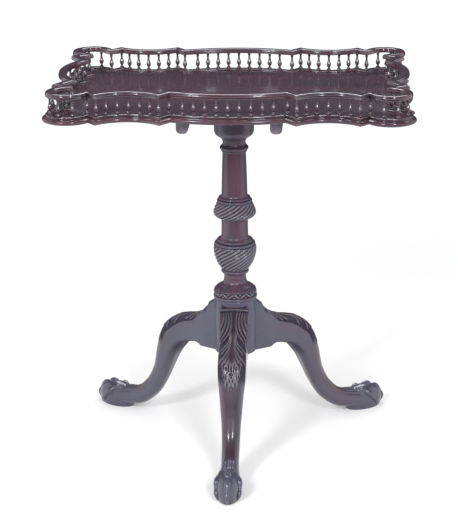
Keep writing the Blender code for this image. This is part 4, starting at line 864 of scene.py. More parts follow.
def ball():
    """The foot's squat ball."""
    shape = bmesh.new()
    bmesh.ops.create_uvsphere(shape, u_segments=BALL_SEGMENTS, v_segments=BALL_RINGS, radius=0.5)
    mesh = mesh_of(shape, "ball")
    mesh.transform(Matrix.Translation(BALL_CENTRE) @ Matrix.Diagonal((*BALL_SIZE, 1.0)))
    store(mesh, "grain", np.array([spot.co for spot in mesh.vertices]))
    for mark in ("carved", "rubbed"):
        store(mesh, mark, np.zeros(len(mesh.vertices)))
    return mesh


CARVED_REACH = 0.20  # no carving is marked further out
# how much wax bloom and painted sheen is kept off the toes, painting them darker as in dark reflections
TOE_SHEEN_OFF = 0.5
TOE_RINGS, TOE_SIDES = 72, 22
TOE_RADIUS = 0.0058
TOE_WIDE, TOE_HIGH = 0.92, 1.08
CUTICLE = (0.16, 0.68, 0.71)  # how much thinner the talon starts, and where the toe ends on it
TOE_SWELLS = (0.62, 1.16, 0.82, 1.14, 0.78, 0.82, 0.34)  # shares of the radius: root, knuckles and talon
TOE_STANDS = (-0.0085, -0.0022, -0.0042, -0.0020, -0.0012, 0.0028, 0.0)  # off the ball, at the same places
SIDE_TOE_STANDS = (-0.0075, -0.0026, -0.0014, -0.0006, -0.0004, 0.0009, 0.0)
TOE_CLIMBS = (115.0, 80.0, 62.0, 44.0, 20.0, -2.0, -26.0)  # degrees up the ball, from root to tip
SIDE_TOE_CLIMBS = (36.0, 51.0, 44.0, 29.0, 12.0, -4.0, -22.0)
SIDE_TOE_TURNS = (158.0, 118.0, 98.0, 82.0, 72.0, 62.0, 52.0)  # degrees round the ball from the middle toe
FLOOR_CUT = (0.2, 0.1)  # radius and depth of what is cut away below the floor


def toe(name, climbs, stands, side):
    """A toe with two knuckles and a talon, laid over the ball."""
    t = np.linspace(0.0, 1.0, TOE_RINGS)
    climb = np.radians(smooth(climbs, t))
    turn = np.radians(smooth(SIDE_TOE_TURNS, t)) * side
    out = np.stack([np.cos(climb) * np.cos(turn), np.cos(climb) * np.sin(turn), np.sin(climb)], axis=-1)
    cuticle = 1 - CUTICLE[0] * step_up(t, *CUTICLE[1:])
    size = TOE_RADIUS * smooth(TOE_SWELLS, t) * cuticle
    path = np.array(BALL_CENTRE) + out * np.array(BALL_SIZE) / 2 + out * smooth(stands, t)[:, None]
    way = np.gradient(path, axis=0)
    way /= np.linalg.norm(way, axis=1, keepdims=True)
    aside = np.cross(way, out)
    aside /= np.linalg.norm(aside, axis=1, keepdims=True)
    off = np.cross(aside, way)
    angles = np.linspace(0.0, 2 * math.pi, TOE_SIDES, endpoint=False)
    ring = TOE_WIDE * np.cos(angles)[:, None] * aside[:, None, :]
    ring = ring + TOE_HIGH * np.sin(angles)[:, None] * off[:, None, :]
    points = path[:, None, :] + ring * size[:, None, None]
    plain = np.zeros(points.shape[:2])
    return skin(name, points, points, carved=plain, rubbed=plain + TOE_SHEEN_OFF)


ROD_SIDES = 36


def rod(name, radius, tip_radius, start, way, length):
    """A round rod or cone from a point, as a piece to cut with."""
    shape = bmesh.new()
    turn = Vector(way).to_track_quat("Z", "Y").to_matrix().to_4x4()
    place = Matrix.Translation(Vector(start)) @ turn @ Matrix.Translation((0, 0, length / 2))
    bmesh.ops.create_cone(shape, cap_ends=True, segments=ROD_SIDES, radius1=radius, radius2=tip_radius,
                          depth=length, matrix=place)
    return shown(name, mesh_of(shape, name))


def worked(made, steps):
    """A piece with others joined to it or cut out of it; the others are then taken away."""
    for other, operation in steps:
        step = made.modifiers.new(other.name, "BOOLEAN")
        step.operation = operation
        step.object = other
        step.solver = "EXACT"
    settled(made)
    for other, _ in steps:
        bpy.data.objects.remove(other, do_unlink=True)
    outward(made.data)
    return made


def carved_leg():
    """The leg with its ball and three toes, cut flat where it stands on the floor."""
    toes = [shown("toe_middle", toe("toe_middle", TOE_CLIMBS, TOE_STANDS, 0))]
    for side in (-1, 1):
        toes.append(shown("toe_side", toe("toe_side", SIDE_TOE_CLIMBS, SIDE_TOE_STANDS, side)))
    radius, depth = FLOOR_CUT
    floor = rod("floor_cut", radius, radius, (FOOT_REACH, 0, -depth), UPRIGHT, depth)
    steps = [(one, "UNION") for one in (shown("ball", ball()), *toes)] + [(floor, "DIFFERENCE")]
    made = worked(shown("leg", leg_skin()), steps)
    mesh = made.data
    bpy.data.objects.remove(made, do_unlink=True)
    for spot, mark in zip(mesh.vertices, mesh.attributes["carved"].data):
        if spot.co.x > CARVED_REACH:
            mark.value = 0.0
    return mesh


# Bearers and the catch's knob

BEARER_ROUND = 0.0085  # rounding of the lower edges
EASED = 0.0010  # edges taken off at the ends
PINTLE_HOLE = 0.0063
PIVOT_PLACE = (0.0600, 0.6653)  # how far back and how high the top swings
SCREW_Y = 0.1200
BEARER_STEPS = 9  # points round each lower edge
PROUD = 0.001  # how far the cutter of the pintle hole stands out on both sides
COUNTERSINK = (0.0042, 0.0017, 0.0029, 0.0004)  # radii, length, and how far the cutter stands out
SCREW_HOLE = (0.0018, 0.030)  # radius and length
KNOB_RADIUS, KNOB_STEM, KNOB_SIDES = 0.0048, 0.0018, 40
KNOB_COLLAR = (  # radius, and height over the ball's middle
    (KNOB_STEM, 0.0066), (0.0030, 0.0062), (0.0032, 0.0056), (0.0030, 0.0050), (0.0022, 0.0046),
)
KNOB_ARC = (28, 172, 25)  # the ball's first and last angle from above, and its rings


def bearer(side):
    """A bearer with rounded lower edges, its pintle hole and the countersinks of its two screws."""
    name = "bearer_" + side
    low, high = (np.array(corner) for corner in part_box(name))
    middle, half = (low + high) / 2, (high - low) / 2
    turn = np.linspace(0.0, math.pi / 2, BEARER_STEPS)
    out = half[0] - BEARER_ROUND * (1 - np.cos(turn))
    down = BEARER_ROUND * (1 - np.sin(turn)) - half[2]
    across = np.concatenate([[half[0]], out, -out[::-1], [-half[0]]])
    up = np.concatenate([[half[2]], down, down[::-1], [half[2]]])
    end, inner = half[1], half[1] - EASED
    rows = []
    for y, inset in ((-end, EASED), (-inner, 0.0), (0.0, 0.0), (inner, 0.0), (end, EASED)):
        squeeze = 1 - inset / half[0]
        rows.append(np.stack([middle[0] + across * squeeze, np.full(len(across), middle[1] + y),
                              high[2] - (half[2] - up) * squeeze], axis=-1))
    points = np.array(rows)
    made = shown("rounded_" + name, skin(name, points, points[..., [1, 0, 2]]), BEARER_WOOD_BRIGHTENED)
    pintle = (low[0] - PROUD, *PIVOT_PLACE)
    cutters = [rod("pintle_hole", PINTLE_HOLE, PINTLE_HOLE, pintle, (1, 0, 0), 2 * half[0] + 2 * PROUD)]
    wide, narrow, length, proud = COUNTERSINK
    hole, deep = SCREW_HOLE
    for y in (-SCREW_Y, SCREW_Y):
        cutters.append(rod("countersink", wide, narrow, (middle[0], y, low[2] - proud), UPRIGHT, length))
        cutters.append(rod("screw_hole", hole, hole, (middle[0], y, low[2]), UPRIGHT, deep))
    worked(made, [(cutter, "DIFFERENCE") for cutter in cutters])
    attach(made, "top")
    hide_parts(name)


def catch_knob():
    """The ball knob that draws the bolt, with its stem and a collar."""
    low, high = (Vector(corner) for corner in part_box("catch_knob"))
    middle = low.z + KNOB_RADIUS
    rows = [(KNOB_STEM, high.z)] + [(radius, middle + up) for radius, up in KNOB_COLLAR]
    for t in np.radians(np.linspace(*KNOB_ARC)):
        rows.append((KNOB_RADIUS * math.sin(t), middle + KNOB_RADIUS * math.cos(t)))
    turns = np.linspace(0.0, 2 * math.pi, KNOB_SIDES, endpoint=False)
    centre = (low + high) / 2
    points = np.array([
        [(centre.x + r * math.cos(t), centre.y + r * math.sin(t), z) for t in turns] for r, z in rows
    ])
    made = shown("turned_knob", skin("turned_knob", points, points), BRASS)
    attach(made, "catch_bolt")
    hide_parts("catch_knob")


HEAD_SIDES, SHANK_SIDES = 32, 20
SHANK_THIN, SHANK_LONG, SHANK_LIFT = 0.9, 0.96, 0.52  # shares of the shank's radius and the screw's length
SLOT_LONG, SLOT_TURN = 2.4, 2.4  # slot in head radii, and the angle from each screw's slot to the next


def slotted_screws():
    """Countersunk screws with slotted heads, one on every point, each with its slot at another angle."""
    tree, given = shape_tree("slotted_screws", {
        "Length": "Float", "Head radius": "Float", "Head depth": "Float", "Shank radius": "Float",
        "Slot width": "Float", "Turn": "Vector", "Metal": "Material",
    })
    head = tree.made("GeometryNodeMeshCone", {
        "Vertices": HEAD_SIDES, "Radius Top": given["Shank radius"], "Radius Bottom": given["Head radius"],
        "Depth": given["Head depth"],
    })
    shank = tree.made("GeometryNodeMeshCylinder", {
        "Vertices": SHANK_SIDES, "Radius": tree.times(given["Shank radius"], SHANK_THIN),
        "Depth": tree.times(given["Length"], SHANK_LONG),
    })
    lift = tree.together(z=tree.times(given["Length"], SHANK_LIFT))
    raised = tree.made("GeometryNodeTransform", {"Geometry": shank, "Translation": lift})
    whole = tree.add("GeometryNodeMeshBoolean", operation="UNION")
    for part in (head, raised):
        tree.feed(whole.inputs["Mesh 2"], part)
    slot = tree.times(given["Head radius"], SLOT_LONG)
    size = tree.together(slot, given["Slot width"], given["Head depth"])
    blade = tree.made("GeometryNodeMeshCube", {"Size": size})
    feeds = {"Mesh 1": whole.outputs[0], "Mesh 2": blade}
    slotted = tree.made("GeometryNodeMeshBoolean", feeds, operation="DIFFERENCE")
    aimed = tree.made("FunctionNodeEulerToRotation", {0: given["Turn"]})
    spin = tree.times(tree.made("GeometryNodeInputIndex"), SLOT_TURN)
    return shape_result(tree, stood(tree, given["Geometry"], slotted, aimed, spin), given["Metal"])


# Finishes

def effect(name, inputs, outputs):
    """A shader group whose outputs are all values."""
    return group_tree(name, "ShaderNodeTree", inputs, dict.fromkeys(outputs, "Float"))


def noise(tree, vector, scale, detail=2.0, roughness=0.5):
    feeds = {"Vector": vector, "Scale": scale, "Detail": detail, "Roughness": roughness}
    return tree.add("ShaderNodeTexNoise", feeds).outputs["Fac"]


def streaks(tree, vector, stretch, detail, roughness=0.5):
    """Noise at a scale of its own along each coordinate."""
    return noise(tree, tree.vectors("MULTIPLY", vector, stretch), 1.0, detail, roughness)


# Scales of the patterns, along and across the grain for the figure
BROAD_FIGURE, RIBBON_FIGURE, PORE_FIGURE = (3.0, 26.0, 26.0), (6.0, 150.0, 150.0), (100.0, 1500.0, 1500.0)
FILE_MARKS, TARNISH = (300.0, 2600.0, 900.0), 140.0
WEAR_SCALE, CLOUD_SCALE, SMEAR_SCALE = 70.0, 9.0, 120.0
BROAD_SHARE, RIBBON_SHARE = 0.65, 0.35  # of the figure
RIBBON_RELIEF = 0.5  # height of the ribbons, where the pores are 1 deep


def mahogany_figure():
    """Ribbon figure, open pores and their relief, for a grain that runs along the first coordinate."""
    tree, given = effect("mahogany_figure", {"Grain": "Vector"}, ("Figure", "Pores", "Relief"))
    broad = streaks(tree, given["Grain"], BROAD_FIGURE, 4.0, 0.55)
    ribbon = streaks(tree, given["Grain"], RIBBON_FIGURE, 2.0)
    figure = tree.plus(tree.times(broad, BROAD_SHARE), tree.times(ribbon, RIBBON_SHARE))
    pores = tree.ranged(streaks(tree, given["Grain"], PORE_FIGURE, 1.0), 0.60, 0.74)
    relief = tree.less(tree.times(ribbon, RIBBON_RELIEF), pores)
    return tree.ended({"Figure": tree.ranged(figure, 0.36, 0.66), "Pores": pores, "Relief": relief})


def hand_wear():
    """Edges bared by wear, and darkening in corners and creases: dirt and old wax there, and painted shade.
    """
    tree, given = effect("hand_wear", {"Place": "Vector"}, ("Edge", "Grime and shade"))
    point = tree.add("ShaderNodeNewGeometry").outputs["Pointiness"]
    patch = noise(tree, given["Place"], WEAR_SCALE, 3.0)
    edge = tree.times(tree.ranged(point, 0.515, 0.60), tree.ranged(patch, 0.25, 0.65))
    # Darker where the surface folds inwards: partly dirt, partly painted shade in creases
    grime_and_shade = tree.times(tree.ranged(point, 0.495, 0.44), tree.ranged(patch, 0.80, 0.30, 0.3, 1.0))
    return tree.ended({"Edge": edge, "Grime and shade": grime_and_shade})


def wax_bloom():
    """Cloudy patches where the wax has dulled, and fine smears in the polish."""
    tree, given = effect("wax_bloom", {"Place": "Vector"}, ("Bloom", "Smear"))
    cloud = tree.ranged(noise(tree, given["Place"], CLOUD_SCALE, 3.0, 0.5), 0.30, 0.70, 0.55, 1.0)
    smear = tree.ranged(noise(tree, given["Place"], SMEAR_SCALE, 3.0, 0.6), 0.3, 0.7)
    return tree.ended({"Bloom": cloud, "Smear": smear})


FIGURE, WEAR, BLOOM = mahogany_figure(), hand_wear(), wax_bloom()
PORE_BROWN = (0.010, 0.005, 0.005)
# dark of dirt in creases, partly painted shade there
GRIME_SHADE_BROWN = (0.006, 0.004, 0.005)
GROUND_SHADE = (0.021, 0.015, 0.036)  # painted shade on the sunk ground of carving
# grey-blue of wax bloom, partly a painted sheen of bright surroundings
BLOOM_SHEEN_GREY = (0.088, 0.099, 0.150)
COOL_TINT = (0.80, 0.86, 1.0, 1.0)  # of the polish's reflections
COAT_ROUGHNESS = 0.10
# How much of each colour is laid over the one before: painted shade in creases and on carved ground, edge
# wear, and painted light on ridges
GRIME_SHADE_MIX, EDGE_MIX, GROUND_SHADE_MIX, RIDGE_LIGHT_MIX = 0.8, 0.5, 0.95, 0.64
METAL_BLOOM = 0.35
BLOOM_ON_WARM, BLOOM_ON_SHEEN_OFF = 0.72, 0.12  # shares of the wax bloom and painted sheen left on warm figure and where the mesh keeps it off
# How much rougher the surface is under each
BLOOM_DULL, SMEAR_DULL, GROUND_DULL, RAW_DULL, GRIME_DULL, TARNISH_DULL = 0.08, 0.05, 0.45, 0.5, 0.25, 0.25
RAW_EDGE = (0.0012, 0.0002)  # heights over a foot between which raw wood gives way to polish
RELIEF_STRENGTH, WOOD_RELIEF, FILED_RELIEF = 0.2, 0.0003, 0.0002


def new_material(name):
    made = bpy.data.materials.new(name)
    made.use_nodes = True
    tree = Tree(made.node_tree)
    return made, tree, made.node_tree.nodes["Principled BSDF"].inputs


def mixed(tree, share, first, second):
    """A mix of two colours, by the numbers of the Mix node's colour sockets."""
    made = tree.add("ShaderNodeMix", data_type="RGBA")
    tree.feed(made.inputs[0], share)
    for socket, colour in ((made.inputs[6], first), (made.inputs[7], second)):
        tree.feed(socket, (*colour, 1.0) if isinstance(colour, tuple) else colour)
    return made.outputs[2]


def effect_node(tree, group, **feeds):
    return tree.add("ShaderNodeGroup", feeds, node_tree=group).outputs


def marked(tree, name):
    """A value that the piece's mesh carries."""
    return tree.add("ShaderNodeAttribute", attribute_name=name).outputs["Fac"]


def surfaced(tree, shader, colour, wear, grime_and_shade, worn_and_lit, rough, relief, deep):
    """Lays crease darkening, dirt and painted shade, and wear at the edges over a colour, and gives the
    shader that, its roughness and relief.
    """
    colour = mixed(tree, tree.times(wear["Grime and shade"], GRIME_SHADE_MIX), colour, grime_and_shade)
    colour = mixed(tree, tree.times(wear["Edge"], EDGE_MIX), colour, worn_and_lit)
    tree.feed(shader["Base Color"], colour)
    tree.feed(shader["Roughness"], rough)
    feeds = {"Strength": RELIEF_STRENGTH, "Distance": deep, "Height": relief}
    tree.feed(shader["Normal"], tree.made("ShaderNodeBump", feeds))


def mahogany(name, deep, warm, worn_and_lit, bloom_sheen, rough, specular, coat, pores=0.3, carved=False, turn=None,
             raw_below=None):
    """Old polished mahogany. The grain follows the piece's own attribute, or turned object coordinates."""
    made, tree, shader = new_material(name)
    place = tree.add("ShaderNodeTexCoord").outputs["Object"]
    if turn is None:
        grain = tree.add("ShaderNodeAttribute", attribute_name="grain").outputs["Vector"]
    else:
        grain = tree.made("ShaderNodeMapping", {"Vector": place, "Rotation": turn})
    figure = effect_node(tree, FIGURE, Grain=grain)
    wear = effect_node(tree, WEAR, Place=place)
    wax = effect_node(tree, BLOOM, Place=place)
    colour = mixed(tree, figure["Figure"], deep, warm)
    colour = mixed(tree, tree.times(figure["Pores"], pores), colour, PORE_BROWN)
    # Wax bloom and painted sheen: a grey-blue laid into the colour, partly the haze of old wax, partly a
    # sheen of bright surroundings; less of it where the mesh marks it kept off
    cloud = tree.ranged(figure["Figure"], 0.0, 1.0, bloom_sheen, bloom_sheen * BLOOM_ON_WARM)
    cloud = tree.times(wax["Bloom"], cloud)
    if carved:
        bare = tree.ranged(marked(tree, "rubbed"), 0.0, 1.0, 1.0, BLOOM_ON_SHEEN_OFF, "LINEAR")
        cloud = tree.times(cloud, bare)
    colour = mixed(tree, cloud, colour, BLOOM_SHEEN_GREY)
    polish = coat
    dull = tree.plus(tree.times(wax["Bloom"], BLOOM_DULL), tree.times(wax["Smear"], SMEAR_DULL))
    if carved:
        # Painted light and shade of the carving: its ground painted dark, its ridges painted in the pale
        # colour of edge wear
        height = marked(tree, "carved")
        ground = tree.ranged(height, -0.05, -0.75)
        colour = mixed(tree, tree.times(ground, GROUND_SHADE_MIX), colour, GROUND_SHADE)
        colour = mixed(tree, tree.ranged(height, 0.05, 0.85, 0.0, RIDGE_LIGHT_MIX), colour, worn_and_lit)
        dull = tree.plus(dull, tree.times(ground, GROUND_DULL))
        polish = tree.times(tree.less(1.0, ground), coat)
    if raw_below is not None:
        raw_end, raw_start = RAW_EDGE
        raw = tree.ranged(tree.apart(place)["Z"], raw_below + raw_end, raw_below + raw_start)
        dull = tree.plus(dull, tree.times(raw, RAW_DULL))
        polish = tree.ranged(raw, 0.0, 1.0, coat, 0.0)
    dull = tree.plus(tree.plus(dull, tree.times(wear["Grime and shade"], GRIME_DULL)), rough)
    surfaced(tree, shader, colour, wear, GRIME_SHADE_BROWN, worn_and_lit, dull, figure["Relief"], WOOD_RELIEF)
    tree.feed(shader["Coat Weight"], polish)
    shader["Specular IOR Level"].default_value = specular
    shader["Specular Tint"].default_value = COOL_TINT
    shader["Coat Roughness"].default_value = COAT_ROUGHNESS
    return made


def metal(name, bright, dark, rough, grime_and_shade):
    """Aged metal with tarnish in patches, bright where wear has bared its edges, darker in creases from
    dirt and painted shade, and fine file marks.
    """
    made, tree, shader = new_material(name)
    place = tree.add("ShaderNodeTexCoord").outputs["Object"]
    wear = effect_node(tree, WEAR, Place=place)
    wax = effect_node(tree, BLOOM, Place=place)
    marks = streaks(tree, place, FILE_MARKS, 2.0)
    patches = noise(tree, place, TARNISH, 4.0, 0.65)
    colour = mixed(tree, tree.ranged(patches, 0.35, 0.65), bright, dark)
    colour = mixed(tree, tree.times(wax["Bloom"], METAL_BLOOM), colour, grime_and_shade)
    dull = tree.plus(tree.times(patches, TARNISH_DULL), rough)
    surfaced(tree, shader, colour, wear, grime_and_shade, bright, dull, marks, FILED_RELIEF)
    shader["Metallic"].default_value = 1.0
    return made


TOP_WOOD = mahogany(
    "top_mahogany", deep=(0.048, 0.021, 0.029), warm=(0.102, 0.039, 0.050), worn_and_lit=(0.16, 0.095, 0.100),
    bloom_sheen=0.10, rough=0.10, specular=0.5, coat=0.5, pores=0.15, raw_below=BOARD_FOOT,
)
GALLERY_WOOD = mahogany(
    "gallery_mahogany", deep=(0.028, 0.010, 0.013), warm=(0.076, 0.022, 0.027), worn_and_lit=(0.26, 0.195, 0.200),
    bloom_sheen=0.10, rough=0.10, specular=0.9, coat=1.0, pores=0.15,
)
PILLAR_WOOD = mahogany(
    "pillar_mahogany", deep=(0.044, 0.018, 0.031), warm=(0.122, 0.042, 0.064), worn_and_lit=(0.22, 0.200, 0.225),
    bloom_sheen=0.95, rough=0.25, specular=0.5, coat=0.40, carved=True,
)
LEG_WOOD = mahogany(
    "leg_mahogany", deep=(0.030, 0.013, 0.021), warm=(0.064, 0.024, 0.036), worn_and_lit=(0.19, 0.180, 0.215),
    bloom_sheen=0.74, rough=0.25, specular=0.7, coat=0.60, carved=True,
)
# Painted light: the bearers' mahogany is made several times paler than the rest, to lift them out of the
# shade under the top
BEARER_WOOD_BRIGHTENED = mahogany(
    "bearer_mahogany", deep=(0.200, 0.178, 0.215), warm=(0.265, 0.225, 0.262), worn_and_lit=(0.29, 0.26, 0.28),
    bloom_sheen=0.35, rough=0.42, specular=0.5, coat=0.05, turn=(0.0, 0.0, math.radians(90)),
)
BLOCK_WOOD = mahogany(
    "block_mahogany", deep=(0.050, 0.030, 0.028), warm=(0.090, 0.050, 0.044), worn_and_lit=(0.14, 0.09, 0.08),
    bloom_sheen=0.3, rough=0.45, specular=0.5, coat=0.05, turn=(0.0, 0.0, 0.0),
)
IRON = metal(
    "forged_iron", bright=(0.11, 0.10, 0.095), dark=(0.05, 0.045, 0.042), grime_and_shade=(0.055, 0.028, 0.016),
    rough=0.45,
)
BRASS = metal(
    "old_brass", bright=(0.62, 0.43, 0.17), dark=(0.40, 0.25, 0.09), grime_and_shade=(0.10, 0.065, 0.03),
    rough=0.25,
)


# The pieces

EDGE_MOULDING = (  # (out, height) from the underside, in millimetres: a full round nose and a fillet
    (2.8, 0.0), (3.9, 0.15), (5.3, 0.75), (6.4, 1.8), (7.05, 3.2), (7.2, 4.6), (6.95, 6.0), (6.2, 7.2),
    (5.0, 8.05), (3.8, 8.4), (3.1, 8.45), (2.7, 8.6), (2.35, 8.9), (2.2, 9.5),
)
STRIP_HALF = (  # the half that faces out, of the base strip and of the rail
    (0.6, 0.0), (1.0, 0.3), (1.0, 1.3), (0.5, 1.6), (0.7, 1.9), (0.95, 2.6), (0.7, 3.4), (0.0, 3.9),
    (-1.2, 4.0),
)
RAIL_HALF = (
    (-2.2, 0.0), (-1.0, 0.15), (-0.35, 0.6), (-0.1, 1.3), (0.0, 2.2), (0.0, 4.7), (-0.15, 5.4), (-0.5, 5.9),
    (-0.8, 6.15), (-0.72, 6.5), (-0.75, 7.3), (-1.1, 8.1), (-1.8, 8.75), (-2.9, 9.1), (-4.4, 9.2),
)


def both_faces(half):
    """A closed moulding: the half that faces out, and its mirror image about the rail's middle."""
    return list(half) + [(-RAIL_WIDTH / MM - out, height) for out, height in reversed(half)]


board_edge = lifted(EDGE_MOULDING, BOARD_FOOT) + [(FIELD_OUT, REBATE), (FIELD_OUT, BOARD_TOP)]
board_mesh = swept("moulded_top", board_edge, closed=False, wooden_grain=False)
top_board = shown("moulded_top", board_mesh, TOP_WOOD)
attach(top_board, "top")
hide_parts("top_board")

STRETCHES = [name[len("handrail_"):] for name in NODES if name.startswith("handrail_")]
rail_mesh = swept("gallery_rail", lifted(both_faces(RAIL_HALF), RAIL_FOOT), closed=True)
rail = shown("gallery_rail", rail_mesh, GALLERY_WOOD, sharp=32)
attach(rail, "top")
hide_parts(*("handrail_" + name for name in STRETCHES))

strip_mesh = swept("gallery_strip", lifted(both_faces(STRIP_HALF), STRIP_FOOT), closed=True)
strip = shown("gallery_strip", strip_mesh, GALLERY_WOOD)
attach(strip, "top")
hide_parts(*("balustrade_" + name for name in STRETCHES))

BALUSTER_SET = 0.0004  # how far a baluster is let into the strip and the rail
BALUSTER_RADIUS, BALUSTER_SIDES, BALUSTER_RINGS = 0.00435, 14, 26
spots = [(p.real, p.imag, STRIP_TOP - BALUSTER_SET) for p in baluster_spots()]
balusters = shape_with(scattered("gallery_balusters", spots), baluster_row(), {
    "Height": RAIL_FOOT - STRIP_TOP + 2 * BALUSTER_SET, "Widest radius": BALUSTER_RADIUS,
    "Sides": BALUSTER_SIDES, "Rings": BALUSTER_RINGS, "Wood": GALLERY_WOOD,
})
settled(balusters)
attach(balusters, "top")

pillar = shown("pillar", turned_pillar(), PILLAR_WOOD, sharp=50)
SPIRAL_DEPTH, SPIRAL_ENDS = 0.0030, 0.06  # of the ridges, and the share of a swelling where they run out
carving = spiral_carving()
for (foot, head), turn in ((VASE, 118.0), (SWELL, 84.0)):
    shape_with(pillar, carving, {
        "Foot": foot * MM, "Head": head * MM, "Ridges": SPIRAL_RIDGES, "Depth": SPIRAL_DEPTH,
        "Turn": math.radians(turn), "Ends": SPIRAL_ENDS, "Wood": PILLAR_WOOD,
    })
settled(pillar)
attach(pillar, "base")
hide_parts("column")

BAND_LEAVES = 11  # of each kind
BAND_RADIUS = 0.0393
LEAF_WIDTH, LEAF_RELIEF = 0.0046, 0.0028
band_tree = leaf_band()
for kind, places, tilt, length in (  # places are shares of the way to the next leaf, and heights
    ("rising", ((0.0, 0.2991),), 36.0, 0.0148),
    ("falling", ((0.5, 0.2991),), -36.0, 0.0148),
    ("buds", ((0.25, 0.2961), (0.75, 0.3021)), 90.0, 0.0048),
):
    ring = []
    for first, height in places:
        turns = [2 * math.pi * (k + first) / BAND_LEAVES for k in range(BAND_LEAVES)]
        ring += [(BAND_RADIUS * math.cos(t), BAND_RADIUS * math.sin(t), height) for t in turns]
    leaves = shape_with(scattered("leaf_band_" + kind, ring), band_tree, {
        "Length": length, "Width": LEAF_WIDTH, "Relief": LEAF_RELIEF, "Tilt": math.radians(tilt),
        "Wood": PILLAR_WOOD,
    })
    settled(leaves)
    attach(leaves, "base")

leg_mesh = carved_leg()
for name, turn in LEG_TURNS.items():
    mesh = leg_mesh.copy()
    mesh.transform(Matrix.Rotation(math.radians(turn), 4, "Z"))
    leg = shown("carved_leg_" + name, mesh, LEG_WOOD)
    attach(leg, "base")
    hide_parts("leg_" + name)

for side in ("left", "right"):
    bearer(side)
catch_knob()

SCREW_SIZES = {"Head radius": 0.0036, "Head depth": 0.0022, "Shank radius": 0.0016, "Slot width": 0.0008}
DRIVEN_UP, DRIVEN_BACK = (0.0, 0.0, 0.0), (-math.pi / 2, 0.0, 0.0)
screw_tree = slotted_screws()
for kind, body, slot, finish, length, turn in (
    ("bearer_screw_", "top", "brass", BRASS, 0.0340, DRIVEN_UP),
    ("catch_screw_", "top", "brass", BRASS, 0.0085, DRIVEN_UP),
    ("strap_screw_", "base", "iron", IRON, 0.0200, DRIVEN_UP),
    ("keeper_screw_", "base", "brass", BRASS, 0.0120, DRIVEN_BACK),
):
    names = [name for name in NODES if name.startswith(kind)]
    heads = []
    for name in names:
        low, high = (Vector(corner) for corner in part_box(name))
        middle = (low + high) / 2
        heads.append((middle.x, middle.y, low.z) if turn is DRIVEN_UP else (middle.x, low.y, middle.z))
    sizes = {"Length": length, "Turn": turn, "Metal": finish, **SCREW_SIZES}
    screws = shape_with(scattered(kind + "set", heads), screw_tree, sizes)
    settled(screws)
    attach(screws, body)
    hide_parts(*names)

KEPT = {  # nodes that stay as they are built, with their finish and how far their edges are eased
    "pivot_block": (BLOCK_WOOD, 0.0012), "tenon_wedge": (BLOCK_WOOD, 0.0003), "leg_strap": (IRON, 0.0006),
    "catch_plate": (BRASS, 0.0004), "catch_bolt": (BRASS, 0.0004), "catch_leaf": (BRASS, 0.0),
    "catch_keeper": (BRASS, 0.0004),
}
WELD_DISTANCE, EASED_ANGLE, EASED_SEGMENTS = 0.00001, math.radians(50), 2
for name, (finish, eased) in KEPT.items():
    node = NODES[name]
    node.data.materials.clear()
    node.data.materials.append(finish)
    if eased:
        node.modifiers.new("joined", "WELD").merge_threshold = WELD_DISTANCE
        edges = node.modifiers.new("eased", "BEVEL")
        edges.width = eased
        edges.segments = EASED_SEGMENTS
        edges.limit_method = "ANGLE"
        edges.angle_limit = EASED_ANGLE


# Floor, light and camera

WHITE = (1.0, 1.0, 1.0, 1.0)
PAPER_ROUGHNESS = 0.9
FLOOR_PALE, FLOOR_LIT = (0.93, 0.93, 0.935), (0.45, 0.45, 0.46)  # as it is seen, and as it lights the table
FLOOR_GLOW = (1.0, 4.0, 0.07, 0.18)  # near and far distance, and the glow at each
BACKDROP_LIGHT = 0.9
LEVEL, STANDING = (0, 0, 0), (math.radians(90), 0, 0)
AIMED_AT = Vector((0, 0, 0.4))


def panel(name, size, place, turn, colour, seen=False):
    """A sheet of paper on the stage; one that isn't seen shows only in reflections."""
    mesh = bpy.data.meshes.new(name)
    x, y = size[0] / 2, size[1] / 2
    mesh.from_pydata([(-x, -y, 0), (x, -y, 0), (x, y, 0), (-x, y, 0)], [], [(0, 1, 2, 3)])
    made = linked(name, mesh)
    made.location = place
    made.rotation_euler = turn
    material, _, shader = new_material(name)
    shader["Base Color"].default_value = (*colour, 1.0)
    shader["Roughness"].default_value = PAPER_ROUGHNESS
    shader["Specular IOR Level"].default_value = 0.0
    mesh.materials.append(material)
    if not seen:
        made.visible_camera = False
        made.visible_diffuse = False
        made.visible_shadow = False
    return made


def seen_rays(tree):
    """1 for the rays that see a surface as it is, 0 for those that only carry its light to the object."""
    rays = tree.add("ShaderNodeLightPath").outputs
    mirrored = tree.maths("MAXIMUM", rays["Is Glossy Ray"], rays["Is Transmission Ray"])
    return tree.maths("MAXIMUM", rays["Is Camera Ray"], mirrored)


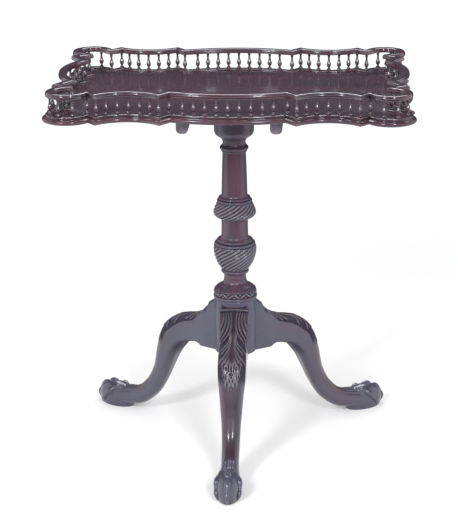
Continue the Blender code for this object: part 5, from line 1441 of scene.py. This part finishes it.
floor = panel("floor", (60, 60), (0, 0, 0), LEVEL, FLOOR_PALE, seen=True)
floor_tree = Tree(floor.data.materials[0].node_tree)
seen = seen_rays(floor_tree)
floor_shader = floor_tree.tree.nodes["Principled BSDF"].inputs
floor_shader["Emission Color"].default_value = WHITE
spot = floor_tree.add("ShaderNodeTexCoord").outputs["Object"]
away = floor_tree.add("ShaderNodeVectorMath", {0: spot}, operation="LENGTH").outputs["Value"]
glow = floor_tree.ranged(away, *FLOOR_GLOW)
floor_tree.feed(floor_shader["Emission Strength"], floor_tree.times(seen, glow))
floor_tree.feed(floor_shader["Base Color"], mixed(floor_tree, seen, FLOOR_LIT, FLOOR_PALE))
panel("front_flag", (6, 5), (0, -3.5, 0.004), LEVEL, (0.05, 0.05, 0.055))
panel("back_flag", (5, 2.4), (0, 2.0, 1.4), STANDING, (0.07, 0.07, 0.09))
panel("back_floor_flag", (6, 3.5), (0, 2.25, 0.004), LEVEL, (0.30, 0.30, 0.33))
panel("ceiling_flag", (9, 9), (0, -1.5, 3.4), LEVEL, (0.07, 0.07, 0.08))

world = bpy.data.worlds.new("studio")
bpy.context.scene.world = world
world.use_nodes = True
backdrop = world.node_tree.nodes["Background"].inputs
backdrop["Color"].default_value = WHITE
backdrop_tree = Tree(world.node_tree)
strength = backdrop_tree.ranged(seen_rays(backdrop_tree), 0.0, 1.0, BACKDROP_LIGHT, 1.0)
backdrop_tree.feed(backdrop["Strength"], strength)


def softbox(name, place, size, watts, gloss_only=False):
    """A rectangular lamp aimed at the table; one for gloss only shows just in reflections."""
    lamp = bpy.data.lights.new(name, "AREA")
    lamp.shape = "RECTANGLE"
    lamp.size, lamp.size_y = size
    lamp.energy = watts
    made = linked(name, lamp)
    made.location = place
    made.rotation_euler = (AIMED_AT - Vector(place)).to_track_quat("-Z", "Y").to_euler()
    made.visible_camera = False
    made.visible_diffuse = not gloss_only


softbox("left_softbox", (-1.5, -2.6, 2.3), (0.45, 0.7), 44.0)
softbox("right_softbox", (1.1, -2.9, 2.2), (0.45, 0.7), 40.0)
softbox("top_softbox", (0.0, 1.5, 2.7), (2.4, 1.5), 80.0, gloss_only=True)

camera = linked("camera", bpy.data.cameras.new("camera"))
camera.location = (0.17525, -3.26063, 1.42893)
camera.rotation_euler = (1.25139, 0.00856, 0.05446)
camera.data.lens = 120.337
camera.data.sensor_width = 36.0
bpy.context.scene.camera = camera
bpy.context.scene.view_settings.view_transform = "Standard"
